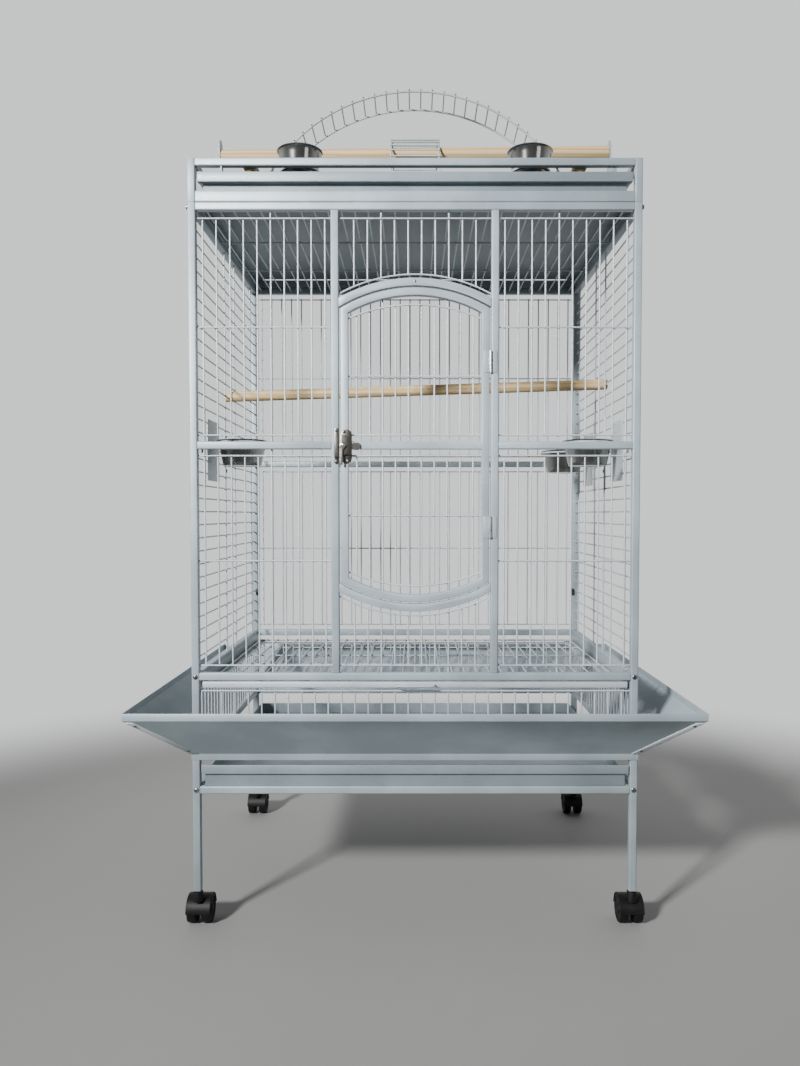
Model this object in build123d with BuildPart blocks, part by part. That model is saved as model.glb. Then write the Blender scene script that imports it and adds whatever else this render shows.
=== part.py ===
"""A play-top parrot cage on casters, in millimetres.

The origin is on the floor under the middle of the cage. +X is to the right, +Y to the back and
+Z up, so the door is on the -Y side. Lengths are the outside sizes of tubes and wires, and a
height is that of an underside unless its name says otherwise.
"""

import os
from math import atan2, cos, degrees, sin, sqrt, tan

from build123d import *

os.makedirs("parts", exist_ok=True)

# Body: outside of the corner posts, and the square tube
width = 813.0
depth = 584.0
tube = 14.0
tube_bevel = 1.5

# Heights of the rails above the floor
leg_foot = 68.0
stand_rail = 249.0
tray_rail = 311.0
cage_rail = 457.5
middle_rail = 877.5
roof_rail = 1303.0
play_sill_height = 20.0
play_rail = 1381.0

# Wire work
wire = 3.0
ladder_wire = 4.0
weld_gap = 0.05
bar_pitch = 24.4
bar_margin = 10.5
row_margin = 20.0
edge_gap = 13.0
middle_gap = 11.5
fence_wire = 437.6

# Sides of what is round: wires in sight and out of it, pins and bores, dowels, wheels and bowls
round_sides = 6
plain_sides = 4
pin_sides = 12
dowel_sides = 16
wheel_sides = 24

# Doorway, its arched bands and the door
opening = 274.0
arch_rise = 37.0
upper_arch = 1176.5
lower_arch = 590.5
arch_wire_gap = 14.5
opening_bar_margin = 18.0
door_gap = 3.0
door_bar_pitch = 23.4
door_bar_margin = 14.0
door_wire_rise = 25.0
door_wire_gap = 22.5
door_upper_wire = 1008.7
door_lower_wire = 757.5

# Door hinges
hinge_levels = (717.0, 1014.0)
hinge_height = 39.0
hinge_leaf = 12.0
hinge_sheet = 1.2
knuckle_radius = 2.6
hinge_pin_radius = 1.3
hinge_fit = 0.05
knuckle_gap = 0.3

# Latch on the door, and the strike on the stile
latch_level = 884.0
latch_setback = 5.7
strike_width = 8.0
strike_length = 65.0
strike_channel = 34.0
latch_plate = 1.5
latch_body_width = 20.4
latch_body_length = 62.0
latch_lip = 1.5
latch_room = 3.5
latch_clear = 0.3
lever_thick = 2.2
lever_hub = 5.0
lever_shaft = 3.0
lever_nose = 8.7
lever_tab_reach = 29.6
lever_tab_width = 14.0
lever_tail = 36.0

# Side panels and swing-out feeders
feeder_near = 46.0
feeder_post_gap = 53.0
feeder_low = 800.0
feeder_high = 975.0
feeder_gap = 3.5
guard_plate_width = 95.0
guard_plate_height = 118.0
guard_plate_sheet = 1.2
feeder_bowl_inset = 59.5
feeder_bowl_from_hinge = 104.0
feeder_bowl_rim = 905.0
feeder_loop_bore = 1.6
feeder_loop_wall = 1.6
feeder_loop_height = 7.0

# Bowls: rim radius, body radius under the rim, base radius, depth
feeder_bowl = (50.0, 47.4, 37.0, 50.0)
play_bowl = (42.5, 40.0, 31.0, 55.0)
bowl_wall = 1.2
bowl_rim_height = 3.0
ring_fit = 0.35
ring_wire = 4.0

# Trays, grate and their runners
sheet = 1.2
runner_sheet = 1.5
runner_reach = 19.0
runner_leg = 18.0
slide_gap = 0.3
tray_gap = 8.5
tray_lip_gap = 3.0
tray_wall = 24.7
tray_lip = 15.0
tray_setback = 4.0
roof_tray_gap = 12.5
roof_lip_gap = 4.5
roof_tray_wall = 16.0
roof_tray_lip = 16.0
roof_tray_setback = 10.0
lip_out = 2.0
tray_back = 18.0
grate_gap = 5.0
grate_setback = 3.0
grate_bar_height = 11.0
grate_bar_depth = 8.0
grate_low = 444.0
grate_rod = 5.0
grate_cross_wires = 4
handle_width = 74.0
handle_out = 16.0

# Seed guard
guard_sheet = 1.2
guard_reach = 95.0
guard_rise = 83.0
guard_flange = 12.5
guard_hem = 12.0
mitre_gap = 0.2
corner_strip = 15.0
corner_strip_sheet = 1.2

# Screws, bolts and clips
screw_sides = 8
screw_radius = 4.5
screw_levels = (256.0, 464.0)
bolt_level = 1310.0
clip_levels = (567.0, 882.0)
clip_size = 8.0

# Play top
ladder_radius = 355.0
ladder_centre = 1280.0
ladder_half = 40.0
rung_over = 6.0
rung_pitch = 24.2
big_rungs = 38
ladder_foot = 1388.0
small_radius = 150.0
small_half = 47.5
small_pitch = 20.0
small_rungs = 23
small_rung_over = 2.0
rod_radius = 4.0
perch_radius = 12.5
play_perch_y = -92.0
play_perch_ends = (1480.0, 1488.5)
perch_end_gap = 0.15
bracket_width = 27.0
bracket_sheet = 2.5
bracket_top = 1512.0
cross_perch_x = 298.0
rod_seat = 8.0
play_bowl_x = 213.0
play_bowl_from_rail = 46.0
play_bowl_rim = 1430.0
play_ring = 1388.0
cross_wires_y = 95.0
keeper_x = 347.0
keeper_width = 14.0
keeper_drop = 12.0

# Cage perch
cage_perch_radius = 11.0
cage_perch_row = 21
cage_perch_y = (-18.0, -30.0)
perch_notch = 3.6
perch_overhang = 5.0

# Casters
wheel_radius = 25.0
wheel_width = 17.0
hood_gap = 1.0
hood_wall = 2.0
web = 9.4
trail = 20.0
axle_radius = 3.0
stem_radius = 5.0
stem_length = 26.0
collar_radius = 9.0
running_fit = 0.05
rest_gap = 0.3

# Places that follow from the sizes above
post_x = (width - tube) / 2
post_y = (depth - tube) / 2
inside_x = width / 2 - tube
inside_y = depth / 2 - tube
cage_floor = cage_rail + tube
roof_top = roof_rail + tube
play_sill = roof_top
play_sill_top = play_sill + play_sill_height
play_top = play_rail + tube
stile_x = (opening + tube) / 2
stile_out = stile_x + tube / 2
inner_layer = wire + weld_gap
bottom_wire = cage_floor + edge_gap
top_wire = roof_rail - edge_gap
under_middle = middle_rail - middle_gap
over_middle = middle_rail + tube + middle_gap
low_rows = (bottom_wire, (bottom_wire + under_middle) / 2, under_middle)
high_rows = (over_middle, (over_middle + top_wire) / 2, top_wire)
arch_radius = ((opening / 2) ** 2 + arch_rise**2) / (2 * arch_rise)
upper_centre = upper_arch - arch_radius
lower_centre = lower_arch + arch_radius
door_half = opening / 2 - door_gap
door_inner = door_half - tube
door_radius = arch_radius - tube - door_gap
rail_levels = (stand_rail, tray_rail, cage_rail, roof_rail)
near, far = feeder_near, inside_y - feeder_post_gap
grate_half = inside_x - grate_gap
play_bowl_y = -inside_y + play_bowl_from_rail


def row(low, high, pitch, margin):
    """Gives evenly spaced places, centred between low and high."""
    count = int((high - low - 2 * margin) / pitch) + 1
    return [(low + high) / 2 + (k - (count - 1) / 2) * pitch for k in range(count)]


def tubes(plane, spots, length, wide=tube, high=tube):
    """Adds a square tube at each spot, from the plane along its normal."""
    with BuildSketch(plane) as section:
        with Locations(*spots):
            Rectangle(wide, high)
        chamfer(section.vertices(), tube_bevel)
    extrude(section.sketch, amount=length)


def wires(plane, spots, length, flats_x=False, sides=round_sides, size=wire):
    """Adds a straight wire at each spot, with two of its flats facing along local x or y."""
    turn = 180 / sides if sides == plain_sides or flats_x else 0
    with BuildSketch(plane) as section:
        with Locations(*spots):
            RegularPolygon(size / 2, sides, major_radius=False, rotation=turn)
    extrude(section.sketch, amount=length)


def disc(radius, sides=pin_sides, flats=False, mode=Mode.ADD):
    """Draws a many-sided disc with its corners, or its flats, on a circle."""
    RegularPolygon(radius, sides, major_radius=not flats, mode=mode)


def x_wires(spots, low, high, sides=round_sides, size=wire):
    """Adds wires along X at (y, z) spots."""
    wires(Plane.YZ.offset(low), spots, high - low, True, sides, size)


def y_wires(spots, low, high, sides=round_sides, size=wire):
    """Adds wires along Y at (x, z) spots."""
    wires(Plane.XZ.offset(-high), spots, high - low, True, sides, size)


def z_wires(spots, low, high, flats_x=False, sides=round_sides, size=wire):
    """Adds wires along Z at (x, y) spots."""
    wires(Plane.XY.offset(low), spots, high - low, flats_x, sides, size)


def upper_arc(radius):
    """Gives the height over x of an arc about the upper arch's centre."""
    return lambda x: upper_centre + sqrt(radius**2 - x**2)


def lower_arc(radius):
    """Gives the height over x of an arc about the lower arch's centre."""
    return lambda x: lower_centre - sqrt(radius**2 - x**2)


def level(height):
    """Gives a straight edge as a height over x."""
    return lambda x: height


def edge(half, height):
    """Draws an arched or level edge from -half to half."""
    if height(0) == height(half):
        return Line((-half, height(half)), (half, height(half)))
    return ThreePointArc((-half, height(half)), (0, height(0)), (half, height(half)))


def pane(half, low, high, mode=Mode.ADD):
    """Draws the face between two edges."""
    with BuildLine() as outline:
        bottom = edge(half, low)
        top = edge(half, high)
        Line(bottom @ 0, top @ 0)
        Line(bottom @ 1, top @ 1)
    make_face(outline.edges(), mode=mode)


def arched(half, low, high, front, back):
    """Adds the band between two edges, from y = front to y = back."""
    with BuildSketch(Plane.XZ.offset(-front)) as section:
        pane(half, low, high)
    extrude(section.sketch, amount=front - back)


def keep(piece, name):
    """Labels a finished piece and writes it."""
    piece.part.label = name
    export_step(piece.part, f"parts/{name}.step")
    print(name, len(piece.part.solids()), round(piece.part.volume))


# Corner posts with their legs, and the two stiles beside the door
def stem_sockets(y):
    """Cuts the caster sockets into the feet of the posts at one y."""
    with BuildSketch(Plane.XY.offset(leg_foot)) as section:
        with Locations((-post_x, y), (post_x, y)):
            disc(stem_radius + running_fit, flats=True)
    extrude(section.sketch, amount=stem_length + rest_gap, mode=Mode.SUBTRACT)


with BuildPart() as front_uprights:
    tubes(Plane.XY.offset(leg_foot), [(-post_x, -post_y), (post_x, -post_y)], roof_top - leg_foot)
    tubes(Plane.XY.offset(cage_floor), [(-stile_x, -post_y), (stile_x, -post_y)], roof_rail - cage_floor)
    stem_sockets(-post_y)
keep(front_uprights, "front_uprights")

with BuildPart() as back_uprights:
    tubes(Plane.XY.offset(leg_foot), [(-post_x, post_y), (post_x, post_y)], roof_top - leg_foot)
    stem_sockets(post_y)
keep(back_uprights, "back_uprights")

# Rails between the posts, and the arched bands over and under the doorway
with BuildPart() as front_rails:
    tubes(Plane.YZ.offset(-inside_x), [(-post_y, z + tube / 2) for z in rail_levels], 2 * inside_x)
    for start in (-inside_x, stile_out):
        tubes(Plane.YZ.offset(start), [(-post_y, middle_rail + tube / 2)], inside_x - stile_out)
    for arc in (upper_arc, lower_arc):
        edges = arc(arch_radius - tube / 2), arc(arch_radius + tube / 2)
        arched(opening / 2, *edges, -depth / 2, -inside_y)
keep(front_rails, "front_rails")

with BuildPart() as back_rails:
    levels = (*rail_levels, middle_rail)
    tubes(Plane.YZ.offset(-inside_x), [(post_y, z + tube / 2) for z in levels], 2 * inside_x)
keep(back_rails, "back_rails")

for side, name in ((-1, "left_side_rails"), (1, "right_side_rails")):
    with BuildPart() as side_rails:
        spots = [(side * post_x, z + tube / 2) for z in rail_levels]
        tubes(Plane.XZ.offset(-inside_y), spots, 2 * inside_y)
    keep(side_rails, name)

# Front grille: two side sections, and the short bars over and under the doorway
front_layer = -post_y
bar_layer = -post_y + inner_layer
side_bars = row(stile_out, inside_x, bar_pitch, bar_margin)
opening_bars = row(-opening / 2, opening / 2, bar_pitch, opening_bar_margin)
over_arc = upper_arc(arch_radius + arch_wire_gap)
under_arc = lower_arc(arch_radius + arch_wire_gap)
half_wire = wire / 2


def wire_arc(arc_low, arc_high, half):
    """Adds an arched wire in the front layer."""
    arched(half, arc_low, arc_high, front_layer - half_wire, front_layer + half_wire)


with BuildPart() as front_grille:
    for start, finish in ((-inside_x, -stile_out), (stile_out, inside_x)):
        x_wires([(front_layer, z) for z in (*low_rows, *high_rows)], start, finish)
    for side in (-1, 1):
        long_bar = side_bars[len(side_bars) // 2 - 1]
        spots = [(side * x, bar_layer) for x in side_bars if x != long_bar]
        z_wires(spots, over_middle - half_wire, top_wire + half_wire)
        z_wires(spots, bottom_wire - half_wire, under_middle + half_wire)
        z_wires([(side * long_bar, bar_layer)], middle_rail + tube, roof_rail)
        z_wires([(side * long_bar, bar_layer)], cage_floor, middle_rail)
    x_wires([(front_layer, top_wire), (front_layer, bottom_wire)], -opening / 2, opening / 2)
    wire_arc(
        upper_arc(arch_radius + arch_wire_gap - half_wire),
        upper_arc(arch_radius + arch_wire_gap + half_wire),
        opening / 2,
    )
    wire_arc(
        lower_arc(arch_radius + arch_wire_gap + half_wire),
        lower_arc(arch_radius + arch_wire_gap - half_wire),
        opening / 2,
    )
    for x in opening_bars:
        z_wires([(x, bar_layer)], over_arc(x) - half_wire, top_wire + half_wire)
        z_wires([(x, bar_layer)], bottom_wire - half_wire, under_arc(x) + half_wire)
    for x in (opening_bars[2], opening_bars[-3]):
        z_wires([(x, bar_layer)], top_wire + half_wire + weld_gap, roof_rail)
        z_wires([(x, bar_layer)], cage_floor, bottom_wire - half_wire - weld_gap)
keep(front_grille, "front_grille")

# Back grille
back_bars = row(-inside_x, inside_x, bar_pitch, bar_margin)
with BuildPart() as back_grille:
    x_wires([(post_y, z) for z in (*low_rows, *high_rows)], -inside_x, inside_x, plain_sides)
    spots = [(x, post_y - inner_layer) for x in back_bars]
    z_wires(spots, over_middle - half_wire, top_wire + half_wire, sides=plain_sides)
    z_wires(spots, bottom_wire - half_wire, under_middle + half_wire, sides=plain_sides)
keep(back_grille, "back_grille")

# Side grilles, with a feeder opening at the front of each and one more at the right rear
side_rows = row(cage_floor, roof_rail, bar_pitch, row_margin)
feeder_rows = [z for z in side_rows if feeder_low < z < feeder_high]
whole_rows = [z for z in side_rows if z not in feeder_rows]
stretches = {
    -1: [(-inside_y, -far - half_wire), (-near + half_wire, inside_y)],
    1: [(-inside_y, -far - half_wire), (-near + half_wire, near - half_wire), (far + half_wire, inside_y)],
}
upright_layer = post_x - inner_layer
for side, name in ((-1, "left_grille"), (1, "right_grille")):
    with BuildPart() as side_grille:
        y_wires([(side * post_x, z) for z in whole_rows], -inside_y, inside_y, plain_sides)
        for start, finish in stretches[side]:
            y_wires([(side * post_x, z) for z in feeder_rows], start, finish, plain_sides)
        spots = [(side * upright_layer, y) for y in (-far, -near, near, far)]
        with BuildSketch(Plane.XY.offset(cage_floor)) as section:
            with Locations(*spots):
                disc(half_wire)
        extrude(section.sketch, amount=roof_rail - cage_floor)
    keep(side_grille, name)

# Fences of short bars between the tray rail and the grate
fence_low = tray_rail + tube
fence_x = row(-inside_x, inside_x, bar_pitch, bar_margin)
fence_y = row(-inside_y, inside_y, bar_pitch, bar_margin)
for side, name in ((-1, "front_fence"), (1, "back_fence")):
    with BuildPart() as fence:
        x_wires([(side * post_y, fence_wire)], -inside_x, inside_x, plain_sides)
        spots = [(x, side * (post_y - inner_layer)) for x in fence_x]
        z_wires(spots, fence_low, fence_wire + half_wire, sides=plain_sides)
    keep(fence, name)

with BuildPart() as side_fences:
    y_wires([(-post_x, fence_wire), (post_x, fence_wire)], -inside_y, inside_y, plain_sides)
    spots = [(side * upright_layer, y) for side in (-1, 1) for y in fence_y]
    z_wires(spots, fence_low, fence_wire + half_wire, sides=plain_sides)
keep(side_fences, "side_fences")

# Roof grille, level with the roof rails
roof_layer = roof_rail + tube / 2
with BuildPart() as roof_grille:
    y_wires([(x, roof_layer) for x in back_bars], -inside_y, inside_y, plain_sides)
    cross = [(y, roof_layer - inner_layer) for y in (-cross_wires_y, cross_wires_y)]
    x_wires(cross, -inside_x, inside_x, plain_sides)
keep(roof_grille, "roof_grille")

# Door frame: one flat frame with arched ends and a middle rail
door_bars = row(-door_inner, door_inner, door_bar_pitch, door_bar_margin)
band_out, band_in = door_radius + tube / 2, door_radius - tube / 2
with BuildPart() as door_frame:
    with BuildSketch(Plane.XZ.offset(depth / 2)) as section:
        pane(door_half, lower_arc(band_out), upper_arc(band_out))
        pane(door_inner, lower_arc(band_in), level(middle_rail), Mode.SUBTRACT)
        pane(door_inner, level(middle_rail + tube), upper_arc(band_in), Mode.SUBTRACT)
    extrude(section.sketch, amount=-tube)
keep(door_frame, "door_frame")


# Door grille
def bowed(apex, rise):
    """Gives an arc that meets the door's stiles rise below its apex, or above where negative."""
    radius = (door_inner**2 + rise**2) / (2 * abs(rise))
    sign = 1 if rise > 0 else -1
    return lambda x: apex - sign * (radius - sqrt(radius**2 - x**2))


door_top_apex = upper_centre + door_radius - door_wire_gap
door_low_apex = lower_centre - door_radius + door_wire_gap
with BuildPart() as door_grille:
    spots = [(front_layer, z) for z in (door_lower_wire, under_middle, over_middle, door_upper_wire)]
    x_wires(spots, -door_inner, door_inner)
    for apex, rise in ((door_top_apex, door_wire_rise), (door_low_apex, -door_wire_rise)):
        wire_arc(bowed(apex - half_wire, rise), bowed(apex + half_wire, rise), door_inner)
    for x in door_bars:
        top = bowed(door_top_apex, door_wire_rise)(x) + half_wire
        low = bowed(door_low_apex, -door_wire_rise)(x) - half_wire
        z_wires([(x, bar_layer)], over_middle - half_wire, top)
        z_wires([(x, bar_layer)], low, under_middle + half_wire)
        if x in (door_bars[2], door_bars[-3]):
            reach = abs(x) + wire
            z_wires([(x, bar_layer)], top + weld_gap, upper_arc(band_in)(reach))
            z_wires([(x, bar_layer)], lower_arc(band_in)(reach), low - weld_gap)
keep(door_grille, "door_grille")

# Butt hinges: the outer knuckles and the pin are on the stile, the middle knuckle on the door
hinge_x = (opening / 2 + door_half) / 2
hinge_y = -depth / 2 - knuckle_radius - weld_gap
knuckle = hinge_height / 3


def hinge_plate(z, height, direction):
    """Adds one leaf's plate on the tube faces, from the barrel out to one side."""
    with BuildSketch(Plane.XY.offset(z)) as section:
        with Locations((hinge_x + direction * hinge_leaf / 2, -(depth + hinge_sheet) / 2)):
            Rectangle(hinge_leaf, hinge_sheet)
    extrude(section.sketch, amount=height)


def barrel(z, height, radius=knuckle_radius, flats=False, mode=Mode.ADD):
    """Adds or cuts a round about the hinge line."""
    with BuildSketch(Plane.XY.offset(z)) as section:
        with Locations((hinge_x, hinge_y)):
            disc(radius, flats=flats)
    extrude(section.sketch, amount=height, mode=mode)


with BuildPart() as stile_hinges:
    for z in hinge_levels:
        for part_z in (z, z + 2 * knuckle):
            hinge_plate(part_z, knuckle, 1)
            barrel(part_z, knuckle)
        outer = hinge_x + hinge_leaf
        with BuildSketch(Plane.XY.offset(z)) as section:
            with Locations(((outer + opening / 2 + 1) / 2, -(depth + hinge_sheet) / 2)):
                Rectangle(outer - opening / 2 - 1, hinge_sheet)
        extrude(section.sketch, amount=hinge_height)
        barrel(z + knuckle, knuckle, knuckle_radius + weld_gap * 4, True, Mode.SUBTRACT)
        barrel(z + knuckle, knuckle, hinge_pin_radius)
keep(stile_hinges, "stile_hinges")

with BuildPart() as door_hinges:
    for z in hinge_levels:
        hinge_plate(z + knuckle + knuckle_gap, knuckle - 2 * knuckle_gap, -1)
        barrel(z + knuckle + knuckle_gap, knuckle - 2 * knuckle_gap)
        inner = hinge_x - hinge_leaf
        with BuildSketch(Plane.XY.offset(z)) as section:
            with Locations(((inner + door_half - 1) / 2, -(depth + hinge_sheet) / 2)):
                Rectangle(door_half - 1 - inner, hinge_sheet)
        extrude(section.sketch, amount=hinge_height)
        barrel(z + knuckle, knuckle, hinge_pin_radius + hinge_fit, True, Mode.SUBTRACT)
keep(door_hinges, "door_hinges")

# Latch: a channelled strike on the stile, a raised housing on the door and a lever between
latch_x = -door_half + latch_setback
face_y = -depth / 2
strike_x = -opening / 2 - strike_width / 2 - 0.3
plate_y = face_y - latch_plate
nose_back = plate_y - latch_clear
nose_front = nose_back - lever_thick
cover_back = nose_front - latch_clear - 0.2
cover_front = cover_back - latch_lip


def on_face(y):
    """Gives the plane through y that faces the viewer, with local x and y as X and Z."""
    return Plane.XZ.offset(-y)


def plates(y_back, y_front, *shapes):
    """Extrudes sketch shapes, made by calls, from one y forwards to another."""
    with BuildSketch(on_face(y_back)) as section:
        for shape in shapes:
            shape()
    extrude(section.sketch, amount=y_back - y_front)


def slot_shape(x, z, long, wide):
    """Draws an upright slot with round ends."""
    ends = (long - wide) / 2
    block(x - wide / 2, x + wide / 2, z - ends, z + ends)
    with Locations((x, z - ends), (x, z + ends)):
        disc(wide / 2)


def block(x_low, x_high, z_low, z_high, mode=Mode.ADD):
    """Draws a rectangle between two corners."""
    with Locations(((x_low + x_high) / 2, (z_low + z_high) / 2)):
        Rectangle(x_high - x_low, z_high - z_low, mode=mode)


strike_left = strike_x - strike_width / 2
strike_right = strike_x + strike_width / 2
channel_low = latch_level - strike_channel * 0.62
channel_high = channel_low + strike_channel
with BuildPart() as strike:
    plates(face_y, plate_y, lambda: slot_shape(strike_x, latch_level - 1, strike_length, strike_width))
    plates(plate_y, cover_front, lambda: block(strike_left, strike_left + 1.6, channel_low, channel_high))
    plates(cover_back, cover_front, lambda: block(strike_left, strike_right, channel_low, channel_high))
keep(strike, "strike")

body_left = -door_half + 0.2
body_right = body_left + latch_body_width
body_low = latch_level - latch_body_length / 2 - 2
body_high = body_low + latch_body_length
cover_low, cover_high = latch_level - 18, latch_level + 19
with BuildPart() as latch_body:
    plates(
        face_y,
        plate_y,
        lambda: slot_shape(
            (body_left + body_right) / 2, (body_low + body_high) / 2, latch_body_length, latch_body_width
        ),
    )
    plates(plate_y, cover_back, lambda: block(body_left, body_left + 5, cover_high - 7, cover_high))
    plates(plate_y, cover_back, lambda: block(body_right - 7, body_right, cover_low, cover_low + 7))
    with BuildSketch(on_face(cover_back)) as section:
        with BuildLine():
            left = Line((body_left, cover_low), (body_left, cover_high))
            top = RadiusArc(left @ 1, (body_right, cover_high - 8), 30)
            right = Line(top @ 1, (body_right, cover_low + 6))
            RadiusArc(right @ 1, left @ 0, 30)
        make_face()
        with Locations((latch_x, latch_level)):
            disc(lever_shaft + running_fit, flats=True, mode=Mode.SUBTRACT)
    extrude(section.sketch, amount=latch_lip)
keep(latch_body, "latch_body")

with BuildPart() as latch_lever:
    hub = (latch_x, latch_level)
    tail_back = cover_front - latch_clear
    with BuildSketch(on_face(nose_back)) as section:
        with Locations(hub):
            disc(lever_hub)
        block(latch_x - lever_nose, latch_x, latch_level - 5, latch_level - 1)
        block(latch_x, body_right + 2, latch_level - 4.5, latch_level + 3.5)
        block(body_right + 1, latch_x + lever_tab_reach, latch_level - 9, latch_level - 9 + lever_tab_width)
    extrude(section.sketch, amount=lever_thick)
    with BuildSketch(on_face(nose_front)) as section:
        with Locations(hub):
            disc(lever_shaft)
    extrude(section.sketch, amount=nose_front - tail_back)
    with BuildSketch(on_face(tail_back)) as section:
        with Locations(hub):
            disc(lever_hub)
        block(latch_x - 5, latch_x - 1.3, latch_level - lever_tail, latch_level)
    extrude(section.sketch, amount=lever_thick + 0.5)
keep(latch_lever, "latch_lever")


# Swing-out feeder doors, each with a guard plate, a bowl ring, hinge loops and a clip
def ring(x, y, z, inner, outer, height, sides=wheel_sides, flats=False):
    """Adds a flat ring round the vertical through (x, y), from z upwards."""
    with BuildSketch(Plane.XY.offset(z)) as section:
        with Locations((x, y)):
            disc(outer, sides)
            disc(inner, sides, flats, Mode.SUBTRACT)
    extrude(section.sketch, amount=height)


def slab(x_span, y_span, z_span, mode=Mode.ADD):
    """Adds or cuts a box between three pairs of limits, given in either order."""
    spans = (x_span, y_span, z_span)
    with Locations(tuple((a + b) / 2 for a, b in spans)):
        Box(*[abs(b - a) for a, b in spans], mode=mode)


def round_block(x, y, top, radius, deep, lean=0.0, mode=Mode.ADD):
    """Adds or cuts a many-sided block, from its top downwards, that leans inwards by an angle."""
    with BuildSketch(Plane((x, y, top), (1, 0, 0), (0, 0, -1))) as section:
        disc(radius, wheel_sides)
    extrude(section.sketch, amount=deep, taper=lean, mode=mode)


def bowl(x, y, rim, shape):
    """Adds a round tapering bowl with a rolled rim."""
    rim_r, body_r, base_r, deep = shape
    lean = degrees(atan2(body_r - base_r, deep - bowl_rim_height))
    round_block(x, y, rim - bowl_rim_height, body_r, deep - bowl_rim_height, lean)
    round_block(x, y, rim, rim_r, bowl_rim_height)
    round_block(x, y, rim, body_r - bowl_wall, deep - bowl_wall, lean, Mode.SUBTRACT)


feeder_span = far - near
feeder_side = wire + feeder_gap
guard_plate_x = post_x - half_wire - weld_gap - guard_plate_sheet / 2
feeder_bowl_x = width / 2 - tube / 2 - feeder_bowl_inset
feeder_ring_in = feeder_bowl[1] + 2 * ring_fit
feeder_ring_out = feeder_ring_in + ring_wire
feeder_ring_z = feeder_bowl_rim - bowl_rim_height - rest_gap - ring_wire
loop_levels = [(feeder_rows[k] + feeder_rows[k + 1]) / 2 for k in (1, -3)]
feeders = (
    ("left", -1, -near),
    ("right_front", 1, -near),
    ("right_rear", 1, far),
)
for name, side, axis_y in feeders:
    plate_y = axis_y - feeder_bowl_from_hinge
    inner_y, outer_y = axis_y - feeder_side, axis_y - feeder_span + feeder_side
    with BuildPart() as feeder_door:
        low, high = feeder_rows[0] - half_wire, feeder_rows[-1] + half_wire
        z_wires([(side * upright_layer, y) for y in (inner_y, outer_y)], low, high, True)
        y_wires([(side * post_x, z) for z in feeder_rows], outer_y - half_wire, inner_y + half_wire)
        slab(
            (side * (guard_plate_x - guard_plate_sheet / 2), side * (guard_plate_x + guard_plate_sheet / 2)),
            (plate_y - guard_plate_width / 2, plate_y + guard_plate_width / 2),
            (latch_level - guard_plate_height / 2, latch_level + guard_plate_height / 2),
        )
        ring(side * feeder_bowl_x, plate_y, feeder_ring_z, feeder_ring_in, feeder_ring_out, ring_wire)
        for y in (plate_y - 15, plate_y + 15):
            slab(
                (side * (feeder_bowl_x + feeder_ring_in), side * (guard_plate_x - guard_plate_sheet / 2)),
                (y - ring_wire / 2, y + ring_wire / 2),
                (feeder_ring_z, feeder_ring_z + ring_wire),
            )
        for z in loop_levels:
            loop_low = z - feeder_loop_height / 2
            slab(
                (side * (upright_layer - half_wire), side * (upright_layer + half_wire)),
                (axis_y - feeder_loop_bore - 0.5, inner_y + half_wire + weld_gap),
                (loop_low, loop_low + feeder_loop_height),
            )
            sizes = (feeder_loop_bore, feeder_loop_bore + feeder_loop_wall, feeder_loop_height)
            ring(side * upright_layer, axis_y, loop_low, *sizes, pin_sides, True)
        clip_x = width / 2 - tube / 2 + half_wire + slide_gap
        slab(
            (side * clip_x, side * (clip_x + 1.5)),
            (outer_y + 18, axis_y - feeder_span - 2),
            (latch_level - 8, latch_level + 8),
        )
    keep(feeder_door, f"feeder_door_{name}")
    with BuildPart() as feeder_bowl_part:
        bowl(side * feeder_bowl_x, plate_y, feeder_bowl_rim, feeder_bowl)
    keep(feeder_bowl_part, f"feeder_bowl_{name}")

# Runners: angle strips on the side rails, for the lower tray, the grate and the roof tray
runner_tops = (stand_rail + tube, grate_low - slide_gap, play_sill_top)
with BuildPart() as runners:
    for top in runner_tops:
        if top == runner_tops[1]:
            leg = (top - runner_sheet, cage_rail + tube / 2)
        else:
            leg = (top - runner_leg, top)
        for side in (-1, 1):
            corner = inside_x - runner_sheet
            slab((side * corner, side * inside_x), (-inside_y, inside_y), leg)
            shelf = (side * (inside_x - runner_reach), side * (corner - weld_gap))
            slab(shelf, (-inside_y, inside_y), (top - runner_sheet, top))
keep(runners, "runners")


# Pull-out trays and grate
def tray(half, lip_half, bottom, wall, lip, setback):
    """Adds an open tray whose front wall steps forwards to an upright lip."""
    front, back = -depth / 2 + setback, depth / 2 - tray_back
    face = -depth / 2 - lip_out
    top = bottom + wall
    slab((-half, half), (front, back), (bottom, top))
    slab(
        (-half + sheet, half - sheet),
        (front + sheet, back - sheet),
        (bottom + sheet, top + 1),
        Mode.SUBTRACT,
    )
    slab((-lip_half, lip_half), (face, front + sheet), (top - sheet, top))
    slab((-lip_half, lip_half), (face, face + sheet), (top, top + lip))


with BuildPart() as lower_tray:
    halves = (inside_x - tray_gap, inside_x - tray_lip_gap)
    tray(*halves, runner_tops[0] + slide_gap, tray_wall, tray_lip, tray_setback)
keep(lower_tray, "lower_tray")

with BuildPart() as roof_tray:
    halves = (inside_x - roof_tray_gap, inside_x - roof_lip_gap)
    tray(*halves, runner_tops[2] + slide_gap, roof_tray_wall, roof_tray_lip, roof_tray_setback)
keep(roof_tray, "roof_tray")

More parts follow.
